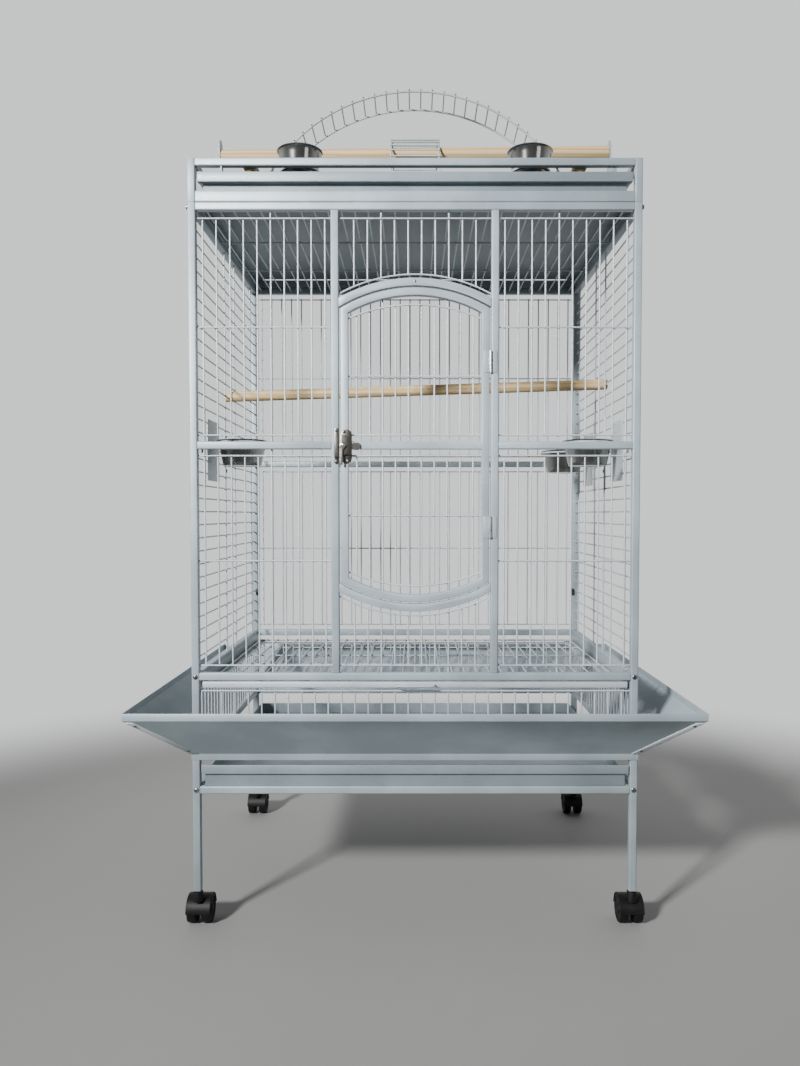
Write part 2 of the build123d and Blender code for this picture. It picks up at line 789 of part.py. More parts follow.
grate_front = -depth / 2 + grate_setback
grate_back = depth / 2 - tray_back
with BuildPart() as grate:
    bar_back = grate_front + grate_bar_depth
    slab((-grate_half, grate_half), (grate_front, bar_back), (grate_low, grate_low + grate_bar_height))
    slab((-grate_half, grate_half), (grate_back - grate_rod, grate_back), (grate_low, grate_low + grate_rod))
    for side in (-1, 1):
        rod = (side * (grate_half - grate_rod), side * grate_half)
        slab(rod, (bar_back + weld_gap, grate_back - grate_rod - weld_gap), (grate_low, grate_low + grate_rod))
    clear = grate_half - grate_rod - weld_gap
    step = (grate_back - bar_back) / (grate_cross_wires + 1)
    cross_z = grate_low + half_wire + weld_gap
    cross = [(bar_back + step * (k + 1), cross_z) for k in range(grate_cross_wires)]
    x_wires(cross, -clear, clear, plain_sides)
    spots = [(x, cross_z + inner_layer) for x in row(-clear, clear, bar_pitch, bar_margin)]
    y_wires(spots, bar_back, grate_back, plain_sides)
keep(grate, "grate")

with BuildPart() as grate_handle:
    handle_mid = grate_low + grate_bar_height / 2
    with BuildSketch(Plane.XY.offset(handle_mid - half_wire)) as section:
        with Locations((0, grate_front - handle_out / 2)):
            Rectangle(handle_width, handle_out)
            fillet(section.vertices().group_by(Axis.Y)[0], 6)
        with Locations((0, grate_front - (handle_out - 4) / 2)):
            Rectangle(handle_width - 8, handle_out - 4, mode=Mode.SUBTRACT)
    extrude(section.sketch, amount=wire)
keep(grate_handle, "grate_handle")


# Seed guard: four flared panels, mitred at the corners, with strips over the joints
def skirt(half_u, profile_plane, limit):
    """Adds a panel by running its profile along one side, and mitres both ends."""
    with BuildSketch(profile_plane.offset(-limit - guard_reach)) as section:
        with BuildLine():
            Polyline(*guard_profile(half_u), close=True)
        make_face()
    extrude(section.sketch, amount=2 * (limit + guard_reach))


guard_low = tray_rail + 1
guard_bend = guard_low + guard_flange
guard_high = guard_bend + guard_rise
guard_top = guard_high + guard_hem


def guard_profile(face):
    """Gives the outline of a panel's section: outward from a face, and up."""
    sign = 1 if face > 0 else -1
    outline = (
        (0, guard_low),
        (guard_sheet, guard_low),
        (guard_sheet, guard_bend - 0.8),
        (guard_reach, guard_high - 0.8),
        (guard_reach, guard_top),
        (guard_reach - guard_sheet, guard_top),
        (guard_reach - guard_sheet, guard_high),
        (0, guard_bend),
    )
    return [(face + sign * u, z) for u, z in outline]


def mitre(along_x, face, other_half):
    """Cuts a panel's ends off at 45 degrees in plan."""
    sign = 1 if face > 0 else -1
    near_half = other_half - mitre_gap
    far_half = near_half + guard_reach + 5
    corners = [
        (-near_half, face),
        (near_half, face),
        (far_half, face + sign * (guard_reach + 5)),
        (-far_half, face + sign * (guard_reach + 5)),
    ]
    with BuildSketch(Plane.XY.offset(guard_low - 5)) as section:
        with BuildLine():
            Polyline(*(corners if along_x else [(y, x) for x, y in corners]), close=True)
        make_face()
    extrude(section.sketch, amount=guard_top - guard_low + 10, mode=Mode.INTERSECT)


for name, face in (("guard_front", -depth / 2), ("guard_back", depth / 2)):
    with BuildPart() as guard_panel:
        skirt(face, Plane.YZ, width / 2)
        mitre(True, face, width / 2)
    keep(guard_panel, name)

side_plane = Plane((0, 0, 0), (1, 0, 0), (0, -1, 0))
for name, face in (("guard_left", -width / 2), ("guard_right", width / 2)):
    with BuildPart() as guard_panel:
        skirt(face, side_plane, depth / 2)
        mitre(False, face, depth / 2)
    keep(guard_panel, name)

# Strips over the guard's corner joints, on the outside of the front and back panels
slope = atan2(guard_rise, guard_reach - guard_sheet)
strip_start, strip_end = 3.0, guard_reach - 4.0
strip_run = strip_end - strip_start
strip_climb = strip_run / cos(slope)


def slope_plane(face, x, out, lift=weld_gap):
    """Gives a plane on the guard's outside, at a distance out from the frame."""
    sign = 1 if face > 0 else -1
    z = guard_bend - 0.8 + (out - guard_sheet) * tan(slope)
    normal = (0, sign * sin(slope), -cos(slope))
    origin = (x, face + sign * out + normal[1] * lift, z + normal[2] * lift)
    return Plane(origin, (1, 0, 0), normal)


with BuildPart() as corner_strips:
    for face in (-depth / 2, depth / 2):
        climb = -strip_climb if face > 0 else strip_climb
        for side in (-1, 1):
            start = side * (width / 2 - mitre_gap + strip_start)
            with BuildSketch(slope_plane(face, start, strip_start)) as section:
                with BuildLine():
                    Polyline(
                        (0, 0),
                        (side * strip_run, climb),
                        (side * (strip_run - corner_strip), climb),
                        (-side * corner_strip, 0),
                        close=True,
                    )
                make_face()
            extrude(section.sketch, amount=corner_strip_sheet)
keep(corner_strips, "corner_strips")


# Domed screws and bolts
def screw(plane, radius, rise):
    """Adds a low head on a plane, with a smaller top face."""
    with BuildSketch(plane) as section:
        RegularPolygon(radius, screw_sides)
    extrude(section.sketch, amount=rise, taper=30)


with BuildPart() as screws:
    for side in (-1, 1):
        for face, outward in ((-depth / 2, -1), (depth / 2, 1)):
            for z in screw_levels:
                screw(Plane((side * post_x, face, z), (1, 0, 0), (0, outward, 0)), screw_radius, 2)
            for out in (strip_start + 8, strip_end - 8):
                x = side * (width / 2 - mitre_gap + out - corner_strip / 2)
                head = slope_plane(face, x, out, corner_strip_sheet + 2 * weld_gap)
                screw(head, 3.0, 1.6)
            screw(Plane((side * width / 2, outward * post_y, bolt_level), (0, 1, 0), (side, 0, 0)), 5.0, 3.5)
keep(screws, "screws")

with BuildPart() as panel_clips:
    for side in (-1, 1):
        for z in clip_levels:
            slab(
                (side * (inside_x - 6), side * (inside_x + 4)),
                (inside_y - clip_size / 2, inside_y),
                (z - clip_size, z + clip_size),
            )
keep(panel_clips, "panel_clips")

# Play top: posts, sill and top rails, and the tabs over the roof tray
with BuildPart() as play_posts:
    spots = [(x, y) for x in (-post_x, post_x) for y in (-post_y, post_y)]
    tubes(Plane.XY.offset(play_sill), spots, play_top - play_sill)
keep(play_posts, "play_posts")

with BuildPart() as play_rails:
    for z, high in ((play_sill, play_sill_height), (play_rail, tube)):
        spots = [(y, z + high / 2) for y in (-post_y, post_y)]
        tubes(Plane.YZ.offset(-inside_x), spots, 2 * inside_x, high=high)
        spots = [(x, z + high / 2) for x in (-post_x, post_x)]
        tubes(Plane.XZ.offset(-inside_y), spots, 2 * inside_y, high=high)
keep(play_rails, "play_rails")

with BuildPart() as keeper_tabs:
    tab_low = play_rail - keeper_drop
    slab((keeper_x, keeper_x + keeper_width), (-post_y, -post_y + 3), (tab_low, play_rail))
    slab((-keeper_x, -keeper_x + 3), (-post_y - 5, -post_y + 5), (tab_low, play_rail))
keep(keeper_tabs, "keeper_tabs")

# Perches on the play top, in brackets or between the rails, and the rods they carry
with BuildPart() as cross_perches:
    for side in (-1, 1):
        with BuildSketch(Plane.XZ.offset(-inside_y)) as section:
            with Locations((side * cross_perch_x, ladder_foot)):
                disc(perch_radius, dowel_sides)
        extrude(section.sketch, amount=2 * inside_y)
        inner = side * (cross_perch_x - perch_radius + rod_seat / 2)
        with BuildSketch(Plane.YZ.offset(inner - rod_seat / 2 - 1)) as section:
            with Locations((-small_radius, ladder_foot), (small_radius, ladder_foot)):
                disc(rod_radius + running_fit, flats=True)
        extrude(section.sketch, amount=rod_seat + 2, mode=Mode.SUBTRACT)
keep(cross_perches, "cross_perches")

with BuildPart() as ladder_rods:
    rod_end = cross_perch_x - perch_radius + rod_seat
    with BuildSketch(Plane.YZ.offset(-rod_end)) as section:
        with Locations((-small_radius, ladder_foot), (small_radius, ladder_foot)):
            disc(rod_radius)
    extrude(section.sketch, amount=2 * rod_end)
keep(ladder_rods, "ladder_rods")

bracket_low = play_rail + 2
bracket_in = inside_x - bracket_sheet
with BuildPart() as perch_brackets:
    for start in (-inside_x, bracket_in):
        with BuildSketch(Plane.YZ.offset(start)) as section:
            block(
                play_perch_y - bracket_width / 2,
                play_perch_y + bracket_width / 2,
                bracket_low,
                bracket_top - bracket_width / 2,
            )
            with Locations((play_perch_y, bracket_top - bracket_width / 2)):
                Circle(bracket_width / 2)
        extrude(section.sketch, amount=bracket_sheet)
keep(perch_brackets, "perch_brackets")


def leaning_dowel(start, finish, radius, over):
    """Adds a round dowel between two points, longer than that by over at each end."""
    along = Vector(*finish) - Vector(*start)
    first = Vector(*start) - along.normalized() * over
    with BuildSketch(Plane(first, (0, 1, 0), along)) as section:
        disc(radius, dowel_sides)
    extrude(section.sketch, amount=along.length + 2 * over)


with BuildPart() as play_perch:
    ends = [(x, play_perch_y, z) for x, z in zip((-bracket_in, bracket_in), play_perch_ends)]
    leaning_dowel(*ends, perch_radius, -perch_end_gap)
keep(play_perch, "play_perch")


# Arched ladders: two bowed rails each, bent at every rung, with the rungs laid over them
def rung_turns(radius, pitch, count):
    """Gives the angles of evenly spaced rungs about the top of a bowed rail."""
    return [(k - (count - 1) / 2) * pitch / radius for k in range(count)]


def on_arc(radius, centre, turns):
    """Gives points at angles from the top of an arc about a centre height."""
    return [(radius * sin(turn), centre + radius * cos(turn)) for turn in turns]


def bowed_rail(plane, radius, centre, turns, foot, foot_end=None):
    """Adds an arch over a plane's middle, with level feet out to foot_end if given."""
    half = ladder_wire / 2
    step = turns[1] - turns[0]
    bends = [turns[0] - step, *turns, turns[-1] + step]
    outside = on_arc(radius + half, centre, bends)
    inside = on_arc(radius - half, centre, reversed(bends))
    with BuildSketch(plane) as section:
        with BuildLine():
            Polyline(*outside, *inside, close=True)
        make_face()
        block(-2 * radius, 2 * radius, centre - 2 * radius, foot - half, Mode.SUBTRACT)
        if foot_end:
            start = sqrt((radius - half) ** 2 - (foot + half - centre) ** 2)
            for side in (-1, 1):
                block(*sorted((side * start, side * foot_end)), foot - half, foot + half)
    extrude(section.sketch, amount=ladder_wire)


rung_lift = ladder_wire / 2 + wire / sqrt(3) + weld_gap
big_turns = rung_turns(ladder_radius, rung_pitch, big_rungs)
small_turns = rung_turns(small_radius, small_pitch, small_rungs)
small_foot = ladder_foot + rod_radius + ladder_wire / 2 + weld_gap
with BuildPart() as big_ladder:
    for y in (-ladder_half, ladder_half):
        plane = Plane.XZ.offset(-y - ladder_wire / 2)
        bowed_rail(plane, ladder_radius, ladder_centre, big_turns, ladder_foot, inside_x)
    spots = on_arc(ladder_radius + rung_lift, ladder_centre, big_turns)
    y_wires(spots, -ladder_half - rung_over, ladder_half + rung_over)
keep(big_ladder, "big_ladder")

with BuildPart() as small_ladder:
    for x in (-small_half, small_half):
        plane = Plane.YZ.offset(x - ladder_wire / 2)
        bowed_rail(plane, small_radius, ladder_foot, small_turns, small_foot)
    spots = on_arc(small_radius + rung_lift, ladder_foot, small_turns)
    x_wires(spots, -small_half - small_rung_over, small_half + small_rung_over)
keep(small_ladder, "small_ladder")

# Play bowls, and the rings that hold them on the front rail
play_ring_top = play_ring + ring_wire
bowl_slope = (play_bowl[1] - play_bowl[2]) / (play_bowl[3] - bowl_rim_height)
play_ring_in = play_bowl[2] + (play_ring_top - play_bowl_rim + play_bowl[3]) * bowl_slope + ring_fit
with BuildPart() as bowl_rings:
    for side in (-1, 1):
        x = side * play_bowl_x
        ring(x, play_bowl_y, play_ring, play_ring_in, play_ring_in + ring_wire, ring_wire)
        for offset in (-10, 10):
            slab(
                (x + offset - ring_wire / 2, x + offset + ring_wire / 2),
                (-inside_y, play_bowl_y - play_ring_in),
                (play_ring, play_ring_top),
            )
keep(bowl_rings, "bowl_rings")

for side, name in ((-1, "play_bowl_left"), (1, "play_bowl_right")):
    with BuildPart() as play_bowl_part:
        bowl(side * play_bowl_x, play_bowl_y, play_bowl_rim, play_bowl)
    keep(play_bowl_part, name)

# Perch across the cage, with slotted ends on the side wires
left_z, right_z = side_rows[cage_perch_row], side_rows[cage_perch_row + 1]
with BuildPart() as cage_perch:
    ends = (-post_x, cage_perch_y[0], left_z), (post_x, cage_perch_y[1], right_z)
    leaning_dowel(*ends, cage_perch_radius, perch_overhang)
    for side, z in ((-1, left_z), (1, right_z)):
        ends = (side * (post_x - perch_notch / 2), side * (post_x + 20))
        slab(ends, (-90, 40), (z - perch_notch / 2, z + perch_notch / 2), Mode.SUBTRACT)
keep(cage_perch, "cage_perch")


# Twin-wheel casters: a hooded fork on a stem, and a pair of wheels on one axle
def caster_fork(x, y):
    """Adds a fork whose hood trails towards the back."""
    hub = (y + trail, wheel_radius)
    hood_inner = wheel_radius + hood_gap
    half = web / 2 + rest_gap + wheel_width + 0.5
    with BuildSketch(Plane.YZ.offset(x - half)) as section:
        with Locations(hub):
            disc(hood_inner + hood_wall, wheel_sides)
        block(hub[0] - 60, hub[0] + 60, -40, wheel_radius, Mode.SUBTRACT)
    extrude(section.sketch, amount=2 * half)
    with BuildSketch(Plane.XY.offset(wheel_radius)) as section:
        with Locations((x, y)):
            disc(collar_radius)
    extrude(section.sketch, amount=leg_foot - rest_gap - wheel_radius)
    with BuildSketch(Plane.YZ.offset(x + web / 2)) as section:
        with Locations(hub):
            disc(hood_inner, wheel_sides, True)
    extrude(section.sketch, amount=half, mode=Mode.SUBTRACT)
    extrude(section.sketch, amount=-half - web, mode=Mode.SUBTRACT)
    with BuildSketch(Plane.YZ.offset(x - web / 2)) as section:
        with Locations(hub):
            disc(hood_inner, wheel_sides, True)
        block(hub[0] - 60, hub[0] + 60, -40, wheel_radius, Mode.SUBTRACT)
        with Locations(hub):
            disc(8)
            disc(axle_radius + running_fit, flats=True, mode=Mode.SUBTRACT)
    extrude(section.sketch, amount=web)
    with BuildSketch(Plane.XY.offset(leg_foot - rest_gap)) as section:
        with Locations((x, y)):
            disc(stem_radius)
    extrude(section.sketch, amount=stem_length)


def caster_wheels(x, y):
    """Adds both wheels and the axle between them."""
    hub = (y + trail, wheel_radius)
    gap = web / 2 + rest_gap
    for start in (x - gap - wheel_width, x + gap):
        with BuildSketch(Plane.YZ.offset(start)) as section:
            with Locations(hub):
                disc(wheel_radius, wheel_sides)
        extrude(section.sketch, amount=wheel_width)
    with BuildSketch(Plane.YZ.offset(x - gap - 1)) as section:
        with Locations(hub):
            disc(axle_radius)
    extrude(section.sketch, amount=2 * gap + 2)


corners = {
    "front_left": (-post_x, -post_y),
    "front_right": (post_x, -post_y),
    "rear_left": (-post_x, post_y),
    "rear_right": (post_x, post_y),
}
for name, (x, y) in corners.items():
    with BuildPart() as fork:
        caster_fork(x, y)
    keep(fork, f"caster_fork_{name}")
    with BuildPart() as wheels:
        caster_wheels(x, y)
    keep(wheels, f"caster_wheels_{name}")
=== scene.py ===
from math import acos, atan2, cos, degrees, pi, radians, sin, sqrt, tan

import bpy
from mathutils import Matrix, Vector


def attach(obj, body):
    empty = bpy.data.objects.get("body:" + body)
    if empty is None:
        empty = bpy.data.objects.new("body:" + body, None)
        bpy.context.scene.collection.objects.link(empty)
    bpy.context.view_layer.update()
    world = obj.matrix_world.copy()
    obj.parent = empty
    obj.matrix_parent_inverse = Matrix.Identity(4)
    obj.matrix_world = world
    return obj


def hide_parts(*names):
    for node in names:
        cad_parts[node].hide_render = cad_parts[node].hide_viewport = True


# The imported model. Lengths below are in millimetres, and become metres as each piece is placed.
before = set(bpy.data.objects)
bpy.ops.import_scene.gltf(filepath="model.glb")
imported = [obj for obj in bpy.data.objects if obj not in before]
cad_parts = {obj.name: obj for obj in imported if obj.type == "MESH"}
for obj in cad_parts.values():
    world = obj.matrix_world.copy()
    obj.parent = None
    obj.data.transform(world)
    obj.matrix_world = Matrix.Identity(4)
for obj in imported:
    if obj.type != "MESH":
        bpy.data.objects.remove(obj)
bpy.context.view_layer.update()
MM = 0.001


# Nodes for materials: a socket that does arithmetic
class Wire:
    """A socket whose arithmetic adds Math nodes to the same material."""

    def __init__(self, paint, socket):
        self.paint = paint
        self.socket = socket

    def math(self, operation, *values):
        return self.paint.node("ShaderNodeMath", dict(operation=operation), dict(enumerate(values)))

    def __add__(self, other):
        return self.math("ADD", self, other)

    def __radd__(self, other):
        return self.math("ADD", other, self)

    def __sub__(self, other):
        return self.math("SUBTRACT", self, other)

    def __rsub__(self, other):
        return self.math("SUBTRACT", other, self)

    def __mul__(self, other):
        return self.math("MULTIPLY", self, other)

    def __rmul__(self, other):
        return self.math("MULTIPLY", other, self)


class Paint:
    """One material, with its shader and object coordinates."""

    def __init__(self, name, **constants):
        self.material = bpy.data.materials.new(name)
        self.material.use_nodes = True
        self.tree = self.material.node_tree
        self.shader = self.tree.nodes["Principled BSDF"]
        for socket, value in constants.items():
            self.shader.inputs[socket.replace("_", " ")].default_value = value
        self.place = self.node("ShaderNodeTexCoord", {}, {}, "Object")

    def node(self, kind, settings, sockets, output=0):
        """Adds any node: its settings first, then the values or links of its sockets."""
        made = self.tree.nodes.new(kind)
        for key, value in settings.items():
            if key == "stops":
                ramp = made.color_ramp
                while len(ramp.elements) < len(value):
                    ramp.elements.new(0.5)
                for element, (position, colour) in zip(ramp.elements, value):
                    element.position = position
                    element.color = (*colour, 1)
            else:
                setattr(made, key, value)
        for key, value in sockets.items():
            if isinstance(value, Wire):
                self.tree.links.new(value.socket, made.inputs[key])
            else:
                made.inputs[key].default_value = value
        return Wire(self, made.outputs[output])

    def feed(self, **sockets):
        """Links results to the shader's sockets."""
        for key, value in sockets.items():
            self.tree.links.new(value.socket, self.shader.inputs[key.replace("_", " ")])

    def stretched(self, x, y, z):
        return self.node("ShaderNodeMapping", {}, {"Vector": self.place, "Scale": (x, y, z)})

    def noise(self, scale, detail=3.0, rough=0.5, place=None):
        sockets = {"Vector": place or self.place, "Scale": scale, "Detail": detail, "Roughness": rough}
        return self.node("ShaderNodeTexNoise", {}, sockets)

    def span(self, value, low, high, to_low=0.0, to_high=1.0):
        sockets = {0: value, 1: low, 2: high, 3: to_low, 4: to_high}
        return self.node("ShaderNodeMapRange", dict(interpolation_type="SMOOTHSTEP"), sockets)

    def ramp(self, value, *stops):
        return self.node("ShaderNodeValToRGB", dict(stops=stops), {0: value})

    def mix(self, factor, one, two):
        """Mixes two colours; sockets 6 and 7 are the colour inputs, and output 2 is the colour."""
        one = one if isinstance(one, Wire) else (*one, 1)
        two = two if isinstance(two, Wire) else (*two, 1)
        return self.node("ShaderNodeMix", dict(data_type="RGBA"), {0: factor, 6: one, 7: two}, 2)

    def bump(self, height, distance, strength, under=None):
        sockets = {"Height": height, "Distance": distance * MM, "Strength": strength}
        if under:
            sockets["Normal"] = under
        return self.node("ShaderNodeBump", {}, sockets)


def tone(red, green, blue):
    """Turns a colour as seen on a screen into the shader's linear one."""
    shares = [c / 255 for c in (red, green, blue)]
    return tuple(c / 12.92 if c < 0.0404 else ((c + 0.055) / 1.055) ** 2.4 for c in shares)


def faded(colour, share):
    """A screen colour made darker or lighter by a share."""
    return tone(*[min(255, c * share) for c in colour])


def powder_coat(name, colour, grain=420.0, sparkle=0.6):
    """Powder coat over steel: fine orange peel, a faint sparkle and soft handling marks."""
    paint = Paint(name, Specular_IOR_Level=0.5)
    peel = paint.noise(grain, 2.0, 0.5)
    fleck = paint.span(paint.noise(2600.0, 1.0, 0.4), 0.62, 0.74)
    cloud = paint.noise(7.0, 4.0, 0.6)
    scuff = paint.span(paint.noise(38.0, 5.0, 0.7, paint.stretched(1, 1, 0.4)), 0.64, 0.75)
    base = paint.mix(paint.span(cloud, 0.35, 0.65), faded(colour, 0.93), faded(colour, 1.03))
    base = paint.mix(fleck * sparkle * 0.5, base, tone(236, 240, 242))
    base = paint.mix(scuff * 0.12, base, tone(120, 126, 128))
    paint.feed(
        Base_Color=base,
        Roughness=0.4 + 0.12 * cloud - 0.14 * fleck + 0.1 * scuff,
        Metallic=0.12 + 0.25 * fleck,
        Normal=paint.bump(peel, 0.06, 0.5, paint.bump(fleck, 0.02, 0.4)),
    )
    return paint.material


def brushed(name, colour, rough, direction, scratch, tarnish=0.0):
    """Bare or plated metal with fine lines along a direction."""
    paint = Paint(name)
    lines = paint.noise(60.0, 4.0, 0.7, paint.stretched(*direction))
    haze = paint.noise(24.0, 3.0, 0.6)
    base = paint.mix(paint.span(haze, 0.3, 0.7), faded(colour, 0.88), tone(*colour))
    if tarnish:
        spots = paint.span(paint.noise(90.0, 5.0, 0.75), 0.52, 0.72)
        base = paint.mix(spots * tarnish, base, tone(92, 78, 58))
    paint.feed(
        Base_Color=base,
        Roughness=rough + 0.12 * haze + 0.1 * scratch * lines - 0.06,
        Metallic=1.0 - 0.08 * haze,
        Normal=paint.bump(lines, 0.02 * scratch, 0.4),
    )
    return paint.material


def dowel_wood(name, along):
    """Pale softwood dowel: long grain, growth rings cut lengthways, and a few darker streaks."""
    paint = Paint(name, Specular_IOR_Level=0.35)
    squeeze = [9.0, 9.0, 9.0]
    squeeze["XY".index(along)] = 0.55
    place = paint.stretched(*squeeze)
    wander = paint.noise(3.0, 3.0, 0.5, place)
    rings = paint.node(
        "ShaderNodeTexWave",
        dict(wave_type="RINGS", rings_direction=along),
        {"Vector": place, "Scale": 3.2, "Distortion": 5.0, "Detail": 3.0, "Detail Scale": 1.2},
        1,
    )
    fibre = paint.noise(42.0, 4.0, 0.7, place)
    pore = paint.span(paint.noise(150.0, 3.0, 0.7, place), 0.6, 0.72)
    base = paint.ramp(
        rings * 0.55 + wander * 0.45,
        (0.15, tone(160, 134, 94)),
        (0.45, tone(184, 160, 117)),
        (0.7, tone(196, 174, 133)),
        (0.95, tone(170, 142, 100)),
    )
    base = paint.mix(fibre * 0.3, base, tone(138, 108, 70))
    base = paint.mix(pore * 0.35, base, tone(124, 88, 54))
    paint.feed(
        Base_Color=base,
        Roughness=0.52 + 0.18 * fibre,
        Normal=paint.bump(fibre * 0.7 + pore * 0.5, 0.12, 0.5),
    )
    return paint.material


def moulded(name, colour, rough, grain=900.0):
    """Moulded plastic with a fine spark-eroded grain and light dust."""
    paint = Paint(name, Specular_IOR_Level=0.25)
    speck = paint.noise(grain, 2.0, 0.5)
    dust = paint.span(paint.noise(46.0, 5.0, 0.7), 0.5, 0.8)
    base = paint.mix(dust * 0.18, tone(*colour), tone(*[c + 26 for c in colour]))
    paint.feed(
        Base_Color=base,
        Roughness=rough + 0.15 * dust + 0.08 * speck,
        Normal=paint.bump(speck, 0.05, 0.5),
    )
    return paint.material


coat = powder_coat("powder_coat", (134, 146, 152))
wire_coat = powder_coat("wire_coat", (162, 170, 174), 900.0, 0.4)
# A lighter copy of the body's coat for the guard's corner strips: painted light, where the strips catch the
# key light.
painted_light_strip_coat = powder_coat("painted_light_strip_coat", (186, 193, 197))
# A darker copy of the body's coat for both trays: painted shade, standing in for the shade on the roof tray
# and its underside.
painted_shade_tray_coat = powder_coat("painted_shade_tray_coat", (112, 124, 130), 420.0, 0.8)
# The bowl steel is painted darker than bare stainless: a painted reflection of a dark room.
stainless = brushed("stainless_bowl_painted_dark_reflection", (142, 142, 139), 0.13, (1, 1, 30), 0.4)
latch_steel = brushed("latch_steel", (108, 105, 99), 0.3, (3, 1, 12), 0.9, 0.35)
chrome = brushed("lever_chrome", (222, 222, 220), 0.12, (1, 1, 6), 0.3)
# The screw zinc is painted darker than bare zinc: painted shade on the screw heads. Its tarnish spots are
# real.
shade_darkened_zinc = brushed("zinc_screw_painted_shade", (128, 130, 132), 0.28, (1, 1, 1), 0.5, 0.25)
# Near-white steel for the hinge knuckles, which really share the body's coat: a painted highlight along the
# hinge barrels.
painted_highlight_hinge_steel = brushed("painted_highlight_hinge_steel", (214, 216, 216), 0.26, (1, 1, 6), 0.4)
wood_x = dowel_wood("dowel_along_x", "X")
wood_y = dowel_wood("dowel_along_y", "Y")
black = moulded("caster_black", (8, 8, 9), 0.46)
tread = moulded("wheel_black", (10, 10, 11), 0.55, 500.0)
dark_clip = moulded("clip_black", (44, 46, 48), 0.5)


# Modelling helpers: every operator works on what this leaves selected
def fresh():
    """Deselects everything, so the next primitive stands alone."""
    if bpy.context.mode != "OBJECT":
        bpy.ops.object.mode_set(mode="OBJECT")
    bpy.ops.object.select_all(action="DESELECT")


def editing(piece, kind="FACE"):
    """Opens a piece in edit mode with nothing selected."""
    fresh()
    piece.select_set(True)
    bpy.context.view_layer.objects.active = piece
    bpy.ops.object.mode_set(mode="EDIT")
    bpy.ops.mesh.select_mode(type=kind)
    bpy.ops.mesh.select_all(action="DESELECT")


def pick(piece, test):
    """Selects the faces whose centre and normal pass the test, in edit mode."""
    bpy.ops.object.mode_set(mode="OBJECT")
    for face in piece.data.polygons:
        face.select = bool(test(face.center / MM, face.normal))
    bpy.ops.object.mode_set(mode="EDIT")


def made():
    return bpy.context.view_layer.objects.active


def settle(piece):
    """Puts a piece's place into its mesh."""
    fresh()
    piece.select_set(True)
    bpy.context.view_layer.objects.active = piece
    bpy.ops.object.transform_apply(location=True, rotation=True, scale=True)
    return piece


def rounded(piece, width, segments=2, angle=35):
    """Rounds a piece's sharp edges."""
    fresh()
    piece.select_set(True)
    bpy.context.view_layer.objects.active = piece
    bevel = piece.modifiers.new("edges", "BEVEL")
    bevel.width = width * MM
    bevel.segments = segments
    bevel.limit_method = "ANGLE"
    bevel.angle_limit = radians(angle)
    bpy.ops.object.modifier_apply(modifier=bevel.name)
    return piece


def carved(piece, tool):
    """Cuts a tool's shape out of a piece and removes the tool."""
    fresh()
    piece.select_set(True)
    bpy.context.view_layer.objects.active = piece
    cut = piece.modifiers.new("cut", "BOOLEAN")
    cut.object = tool
    cut.operation = "DIFFERENCE"
    cut.solver = "EXACT"
    bpy.ops.object.modifier_apply(modifier=cut.name)
    bpy.data.objects.remove(tool)
    return piece


def upper_half(piece, height):
    """Keeps what lies above a height, with the cut closed."""
    editing(piece)
    bpy.ops.mesh.select_all(action="SELECT")
    bpy.ops.mesh.bisect(
        plane_co=(0, 0, height * MM),
        plane_no=(0, 0, 1),
        use_fill=True,
        clear_inner=True,
    )
    bpy.ops.object.mode_set(mode="OBJECT")
    return piece


def joined(pieces):
    """Joins pieces into the first."""
    fresh()
    for piece in pieces:
        piece.select_set(True)
    bpy.context.view_layer.objects.active = pieces[0]
    if len(pieces) > 1:
        bpy.ops.object.join()
    return pieces[0]


def twin(piece, shift=(0, 0, 0), turn=None):
    """Copies a piece with its own mesh, moved and perhaps turned about the shared origin."""
    copy = piece.copy()
    copy.data = piece.data.copy()
    bpy.context.scene.collection.objects.link(copy)
    move = Matrix.Translation(Vector(shift) * MM)
    copy.data.transform(move @ turn if turn else move)
    return copy


def mirrored(piece, axis):
    """Copies a piece to the other side of the cage's middle."""
    copy = twin(piece)
    scale = [1, 1, 1]
    scale["XYZ".index(axis)] = -1
    copy.data.transform(Matrix.Diagonal((*scale, 1)))
    editing(copy)
    bpy.ops.mesh.select_all(action="SELECT")
    bpy.ops.mesh.flip_normals()
    bpy.ops.object.mode_set(mode="OBJECT")
    return copy


def repeated(piece, shifts):
    """Copies a piece to each shift from where it is, and joins the copies."""
    copies = [twin(piece, shift) for shift in shifts]
    fresh()
    bpy.data.objects.remove(piece)
    return joined(copies)


def done(piece, name, material, body, *nodes, slot=None, angle=35):
    """Names, smooths, paints and attaches a finished piece."""
    settle(piece)
    bpy.ops.object.shade_smooth_by_angle(angle=radians(angle))
    piece.name = name
    piece.data.name = name
    piece.data.materials.clear()
    piece.data.materials.append(material)
    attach(piece, body)
    if nodes:
        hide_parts(*nodes)
    return piece


def rod(start, end, radius=1.5, sides=12, soften=0.25):
    """A straight round rod between two points, with its end edges softened."""
    start, end = Vector(start) * MM, Vector(end) * MM
    fresh()
    bpy.ops.mesh.primitive_cylinder_add(
        vertices=sides,
        radius=radius * MM,
        depth=(end - start).length,
        location=(start + end) / 2,
        rotation=(end - start).to_track_quat("Z", "Y").to_euler(),
    )
    piece = made()
    editing(piece)
    pick(piece, lambda centre, normal: abs(normal.z) > 0.9)
    bpy.ops.mesh.bevel(offset=soften * MM, segments=1, affect="EDGES")
    bpy.ops.object.mode_set(mode="OBJECT")
    return settle(piece)


def bar(low, high, width, segments=2):
    """A straight bar or sheet between two corners, with rounded edges."""
    low, high = Vector(low) * MM, Vector(high) * MM
    fresh()
    bpy.ops.mesh.primitive_cube_add(size=1, location=(low + high) / 2)
    piece = made()
    piece.scale = [abs(a - b) for a, b in zip(low, high)]
    settle(piece)
    return rounded(piece, width, segments)


